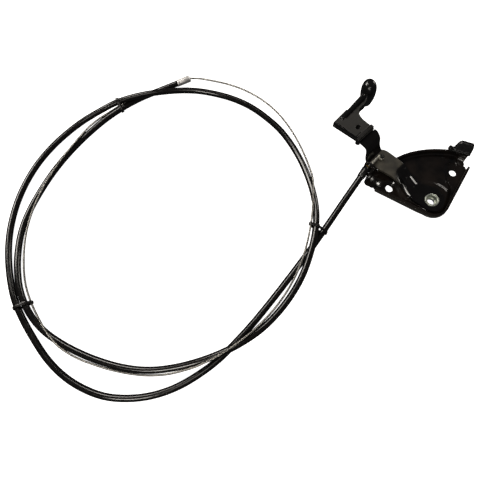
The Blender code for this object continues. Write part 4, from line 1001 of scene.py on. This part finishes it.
def build_grip():
    loop = GRIP_OUTLINE[:]
    loop[GRIP_CURVE] = [tuple(p) for p in smooth_route(GRIP_OUTLINE[GRIP_CURVE], 0.8)]
    loop = set_off(loop, GRIP_START)
    lower = round_off(prism(loop, GRIP_BOTTOM, GRIP_SHOULDER), 0.5, 2)
    inset = offset_path(loop + loop[:2], GRIP_INSET)
    inset_loop = [tuple(inset[len(loop)])] + [tuple(p) for p in inset[1:len(loop)]]
    upper = round_off(prism(inset_loop, GRIP_BOTTOM + 0.4, GRIP_TOP), 0.7, 3)
    for start, end, width, depth in GROOVES:
        upper = cut_out(upper, trough(start, end, width, depth))
    recess = prism(circle((0.0, 0.0), RECESS_RADIUS, 40), GRIP_TOP - RECESS_DEPTH,
                   GRIP_TOP + CUTTER_REACH)
    bmesh.ops.scale(recess, vec=RECESS_STRETCH, verts=recess.verts)
    upper = cut_out(upper, shifted(recess, *RECESS_CENTRE, 0.0))
    shapes = [lower, upper, curve_shape([SPINE_START, SPINE_END], SPINE_RADIUS, 8),
              round_off(prism(HEEL, HEEL_FOOT, HEEL_TOP), 0.5, 2)]
    shapes += [round_off(box(*sides), width, segments) for *sides, width, segments in GRIP_BLOCKS]
    shapes.append(finger_knob())
    for x, y, z in (SPINE_START, SPINE_END):
        bead = bmesh.new()
        bmesh.ops.create_uvsphere(bead, u_segments=24, v_segments=16, radius=SPINE_RADIUS + 0.15)
        shapes.append(shifted(bead, x, y, z))
    skin = moulded(shapes, GRIP_VOXEL)
    skin.normal_update()
    # The dull finish covers what looks up on the grip's upper face, and fades out before the knob.
    layer = skin.verts.layers.float.new("dull_face")
    for vert in skin.verts:
        share = above(vert.normal.z, *DULL_LEAN) * below(vert.co.x, *DULL_KNOB_EDGE)
        vert[layer] = float(share * above(vert.co.z, *DULL_BOTTOM) * below(vert.co.z, *DULL_TOP))
    piece("moulded_grip", skin, NYLON, "lever", ["pull_grip"], in_lever_frame=True)


def trough(start, end, width, depth):
    """A straight cutter with a rounded bottom, laid in the grip's upper face."""
    height = GRIP_TOP + width / 2.0 - depth
    return curve_shape([(*start, height), (*end, height)], width / 2.0, 6)


def finger_knob():
    """A pear-shaped turning, stretched and leaned along the bracket's Y."""
    middle = (KNOB_BOTTOM + KNOB_TOP) / 2.0
    half = (KNOB_TOP - KNOB_BOTTOM) / 2.0
    profile = [(0.0, KNOB_TOP)]
    for angle in np.linspace(math.pi / 2.0, -math.pi / 2.0, KNOB_RINGS + 1)[1:-1]:
        share = float(smooth_step(0.5 + 0.5 * math.sin(angle)))
        radius = KNOB_FOOT_RADIUS + (KNOB_RADIUS - KNOB_FOOT_RADIUS) * share
        profile.append((radius * math.cos(angle) ** KNOB_FULLNESS, middle + half * math.sin(angle)))
    knob = turned(profile + [(0.0, KNOB_BOTTOM)], 48)
    lean = Matrix(((1.0, 0.0, 0.0, 0.0), (0.0, KNOB_STRETCH, KNOB_LEAN, -KNOB_LEAN * middle),
                   (0.0, 0.0, 1.0, 0.0), (0.0, 0.0, 0.0, 1.0)))
    place = Matrix.Translation(Vector((KNOB_CENTRE[0], GRIP_START + KNOB_CENTRE[1], 0.0)))
    turn = Matrix.Rotation(-LEVER_ANGLE, 4, "Z")
    return moved(knob, place @ turn @ lean)


# Cable end on the bracket

def on_lever_frame(name, bm, material, body, node, width, segments):
    soften(piece(name, bm, material, body, [node], in_lever_frame=True), width, segments)


def build_cable_end():
    neck_end = TAB[0] - FIT_GAP - RING_LENGTH
    face = TAB[1] + FIT_GAP
    front = face + COLLAR_LIP
    radius, bore = COLLAR_FRONT[0][0], COLLAR_FRONT[-1][0]
    collar = [(bore, neck_end), (NECK_RADIUS, neck_end), (NECK_RADIUS, face), (radius, face)]
    collar += set_off(COLLAR_FRONT, front)
    on_lever_frame("end_collar", on_cable_axis(turned(collar)), COLLAR_PLASTIC, "bracket",
                   "end_fitting", 0.12, 2)
    ring_end = neck_end + RING_LENGTH
    inner, outer = RING_RADII
    ring = turned([(inner, neck_end), (outer, neck_end), (outer, ring_end), (inner, ring_end)])
    on_lever_frame("brass_ring", on_cable_axis(ring), BRASS, "bracket", "fitting_ring",
                   0.2, 3)
    crimp_start = front + 2.0 * FIT_GAP + STUB_LENGTH
    crimp_end = PIN_L + CRIMP_PAST_PIN
    bottom = LEVER_MID + LEVER_SHEET + FIT_GAP
    tube = turned(set_off(CRIMP_FRONT, crimp_start) + set_off(CRIMP_BACK, crimp_end), 48)
    eyelet = turned(set_off(EYELET, bottom), 48)
    crimp = joined([on_cable_axis(tube), shifted(eyelet, PIN_L, PIN_T, 0.0)])
    on_lever_frame("pressed_crimp", crimp, CRIMP_METAL, "lever", "crimp_tube", 0.12, 2)
    pin = turned(set_off(PIN_NUT, LEVER_MID - FIT_GAP)
                 + set_off(PIN_HEAD, bottom + EYELET_HEIGHT + FIT_GAP), 48)
    on_lever_frame("headed_pin", shifted(pin, PIN_L, PIN_T, 0.0), PIN_METAL, "lever",
                   "wire_pin", 0.1, 2)
    build_stub(front, crimp_start)


def build_stub(front, crimp_start):
    """The short wire between collar and crimp, made of rings along its length and left on no body."""
    stub = bmesh.new()
    bmesh.ops.create_circle(stub, cap_ends=True, segments=20, radius=WIRE_RADIUS)
    shifted(stub, 0.0, 0.0, front - STUB_OVERLAP)
    cap = stub.faces[:]
    length = crimp_start + STUB_OVERLAP - (front - STUB_OVERLAP)
    for ring in range(STUB_RINGS):
        made = bmesh.ops.extrude_face_region(stub, geom=cap)["geom"]
        if ring:
            bmesh.ops.delete(stub, geom=cap, context="FACES_ONLY")
        cap = [item for item in made if isinstance(item, bmesh.types.BMFace)]
        bmesh.ops.translate(stub, vec=(0.0, 0.0, length / STUB_RINGS), verts=vertices(made))
    bmesh.ops.recalc_face_normals(stub, faces=stub.faces)
    on_cable_axis(stub)
    wire = piece("pulled_wire", stub, PIN_METAL, None, ["wire_stub"], in_lever_frame=True)
    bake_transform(wire)


# Outer cable, wire and ferrule

def build_cables():
    start = (*lever_to_pivot(CONDUIT_START[0], CONDUIT_START[1]), CONDUIT_START[2])
    conduit = smooth_route([start] + CONDUIT_ROUTE, CONDUIT_STEP)
    conduit[:, 2] = np.maximum(conduit[:, 2], CONDUIT_RADIUS)
    heading = conduit[-1] - conduit[-2]
    heading /= np.linalg.norm(heading)
    mouth = conduit[-1] + heading * (2.0 * FIT_GAP + FERRULE_LENGTH)
    wire = keep_clear(smooth_route([tuple(mouth)] + WIRE_ROUTE, WIRE_STEP), conduit, WIRE_CLEARANCE,
                      WIRE_RADIUS)
    jacket_line = smooth_route(conduit, 5.0)
    jacket_line[:, 2] = np.maximum(jacket_line[:, 2], CONDUIT_RADIUS)
    jacket = linked("cable_jacket", round_curve("cable_jacket", (jacket_line + PIVOT) * MM,
                                                CONDUIT_RADIUS * MM, 8))
    registered(jacket, JACKET, "bracket", ["cable_conduit"])
    sleeve = lay_along(turned(SLEEVE_PROFILE), conduit[0], conduit[1] - conduit[0])
    soften(piece("cable_sleeve", sleeve, SLEEVE, "bracket", ["conduit_boot"]), 0.15, 2)
    ferrule = turned(FERRULE_FOOT + set_off(FERRULE_MOUTH, FERRULE_LENGTH))
    lay_along(ferrule, conduit[-1] + heading * FIT_GAP, heading)
    ferrule = piece("crimped_ferrule", ferrule, FERRULE_METAL, "bracket", ["end_ferrule"])
    soften(ferrule, 0.12, 2, 30.0)

    line = smooth_route(wire, 1.8)
    line[:, 2] = np.maximum(line[:, 2], WIRE_RADIUS)
    bare = piece("bare_wire", stranded(line), WIRE_METAL, "bracket", ["inner_wire"])
    for name, centre, direction, lock_angle in TIES:
        build_tie(name, centre, direction, lock_angle, jacket_line, line)


def stranded(line):
    """A wire along a line, with a count of strands passed round and along it for the finish."""
    strand = curve_shape(line, WIRE_RADIUS, 3)
    layer = strand.verts.layers.float.new("lay")
    lengths = np.arange(len(line)) * np.linalg.norm(line[1] - line[0])
    for vert in strand.verts:
        place = np.array(vert.co)
        i = int(np.argmin(np.linalg.norm(line - place, axis=1)))
        ahead = line[min(i + 1, len(line) - 1)] - line[max(i - 1, 0)]
        side = np.array([-ahead[1], ahead[0], 0.0])
        side /= np.linalg.norm(side)
        away = place - line[i]
        angle = math.atan2(away[2], away @ side)
        vert[layer] = (lengths[i] / STRAND_PITCH + angle / (2.0 * math.pi)) * STRANDS
    return strand


def crossing(route, centre, direction, radius):
    """Where a route crosses the plane of a tie: its places across and up, with its radius."""
    side = ((route - (*centre, 0.0)) * (*direction, 0.0)).sum(axis=1)
    found = []
    for i in np.flatnonzero(side[:-1] * side[1:] <= 0.0):
        place = route[i] + (route[i + 1] - route[i]) * (side[i] / (side[i] - side[i + 1]))
        across = (place[0] - centre[0]) * -direction[1] + (place[1] - centre[1]) * direction[0]
        if abs(across) < TIE_REACH:
            found.append((across, place[2], radius))
    return found


def tie_band(loop):
    """A strap that runs round a closed loop."""
    band = bmesh.new()
    ring = [band.verts.new((u, v, -TIE_WIDTH / 2.0)) for u, v in loop]
    edges = [band.edges.new(pair) for pair in zip(ring, ring[1:] + ring[:1])]
    made = bmesh.ops.extrude_edge_only(band, edges=edges)["geom"]
    bmesh.ops.translate(band, vec=(0.0, 0.0, TIE_WIDTH), verts=vertices(made))
    band.normal_update()
    middle = Vector((*np.mean(loop, axis=0), 0.0))
    if sum(face.normal.dot(face.calc_center_median() - middle) for face in band.faces) < 0.0:
        bmesh.ops.reverse_faces(band, faces=band.faces)
    return round_off(baked(band, "SOLIDIFY", thickness=TIE_STRAP, offset=1.0, use_even_offset=True), 0.2, 2,
                     60.0)


def build_tie(name, centre, direction, lock_angle, conduit, wire):
    """A strap pulled round the runs that cross it, with its small lock lying against them."""
    direction = np.array(direction) / math.hypot(*direction)
    members = crossing(conduit, centre, direction, CONDUIT_RADIUS)
    members += crossing(wire, centre, direction, WIRE_RADIUS)
    points = [place for u, v, radius in members for place in circle((u, v), radius + FIT_GAP, 40)]
    loop = [points[i] for i in convex_hull_2d(points)]
    lock_angle = math.radians(lock_angle)
    reach = np.array([math.cos(lock_angle), math.sin(lock_angle)])
    seat = max(loop, key=lambda place: np.dot(place, reach))
    turn = Matrix.Translation(Vector((*seat, 0.0))) @ Matrix.Rotation(lock_angle, 4, "Z")
    tie = joined([tie_band(loop), moved(round_off(box(*TIE_LOCK), 0.35, 2), turn)])
    axes = Matrix(((-direction[1], 0.0, direction[0]), (direction[0], 0.0, direction[1]), (0.0, 1.0, 0.0)))
    moved(tie, Matrix.Translation(Vector((*centre, 0.0))) @ axes.to_4x4())
    bmesh.ops.recalc_face_normals(tie, faces=tie.faces)
    piece(name + "_strap", tie, TIE_NYLON, "bracket", [name])


# Studio

def softbox(name, bearing, height, size, power):
    """A warm white panel at a bearing from +X and an angle above the floor, facing the part."""
    bearing, height = math.radians(bearing), math.radians(height)
    flat = math.cos(height)
    place = LIGHT_DISTANCE * Vector((math.cos(bearing) * flat, math.sin(bearing) * flat, math.sin(height)))
    light = bpy.data.lights.new(name, "AREA")
    light.shape = "RECTANGLE"
    light.size, light.size_y = size
    light.energy = power
    light.color = linear("#fffaf2")[:3]
    obj = linked(name, light)
    obj.location = place
    obj.rotation_euler = (-place).to_track_quat("-Z", "Y").to_euler()


def build_floor():
    """White paper that lights only the camera's view, so the black paint stays black."""
    bm = bmesh.new()
    bmesh.ops.create_grid(bm, x_segments=1, y_segments=1, size=FLOOR_SIZE)
    mesh = as_mesh("studio_floor", bm)
    floor = linked("studio_floor", mesh)
    floor.location.z = -FLOOR_DROP
    floor.visible_diffuse = False
    floor.visible_glossy = False
    paper = bpy.data.materials.new("white_paper_floor")
    paper.use_nodes = True
    sockets = paper.node_tree.nodes["Principled BSDF"].inputs
    for key, value in (("Base Color", linear("#f7f7f6")), ("Roughness", 0.9), ("Specular IOR Level", 0.1),
                       ("Emission Color", linear("#ffffff")), ("Emission Strength", 1.0)):
        sockets[key].default_value = value
    mesh.materials.append(paper)


def build_studio():
    scene = bpy.context.scene
    build_floor()
    world = bpy.data.worlds.new("studio")
    world.use_nodes = True
    world.node_tree.nodes["Background"].inputs["Color"].default_value = linear("#c9ccd0")
    world.node_tree.nodes["Background"].inputs["Strength"].default_value = WORLD_STRENGTH
    scene.world = world
    for settings in SOFTBOXES:
        softbox(*settings)
    scene.view_settings.view_transform = "Standard"
    scene.view_settings.look = "None"
    camera_data = bpy.data.cameras.new("photo_camera")
    camera_data.lens = CAMERA_LENS
    camera_data.sensor_width = CAMERA_SENSOR
    camera_data.clip_start = 0.01
    camera = linked("photo_camera", camera_data)
    camera.location = (np.array(CAMERA_PLACE) + PIVOT) * MM
    camera.rotation_euler = (math.radians(CAMERA_TILT), 0.0, 0.0)
    scene.camera = camera


build_bracket()
build_tab()
build_bumper()
build_rivet()
build_lever()
build_grip()
build_cable_end()
build_cables()
build_studio()
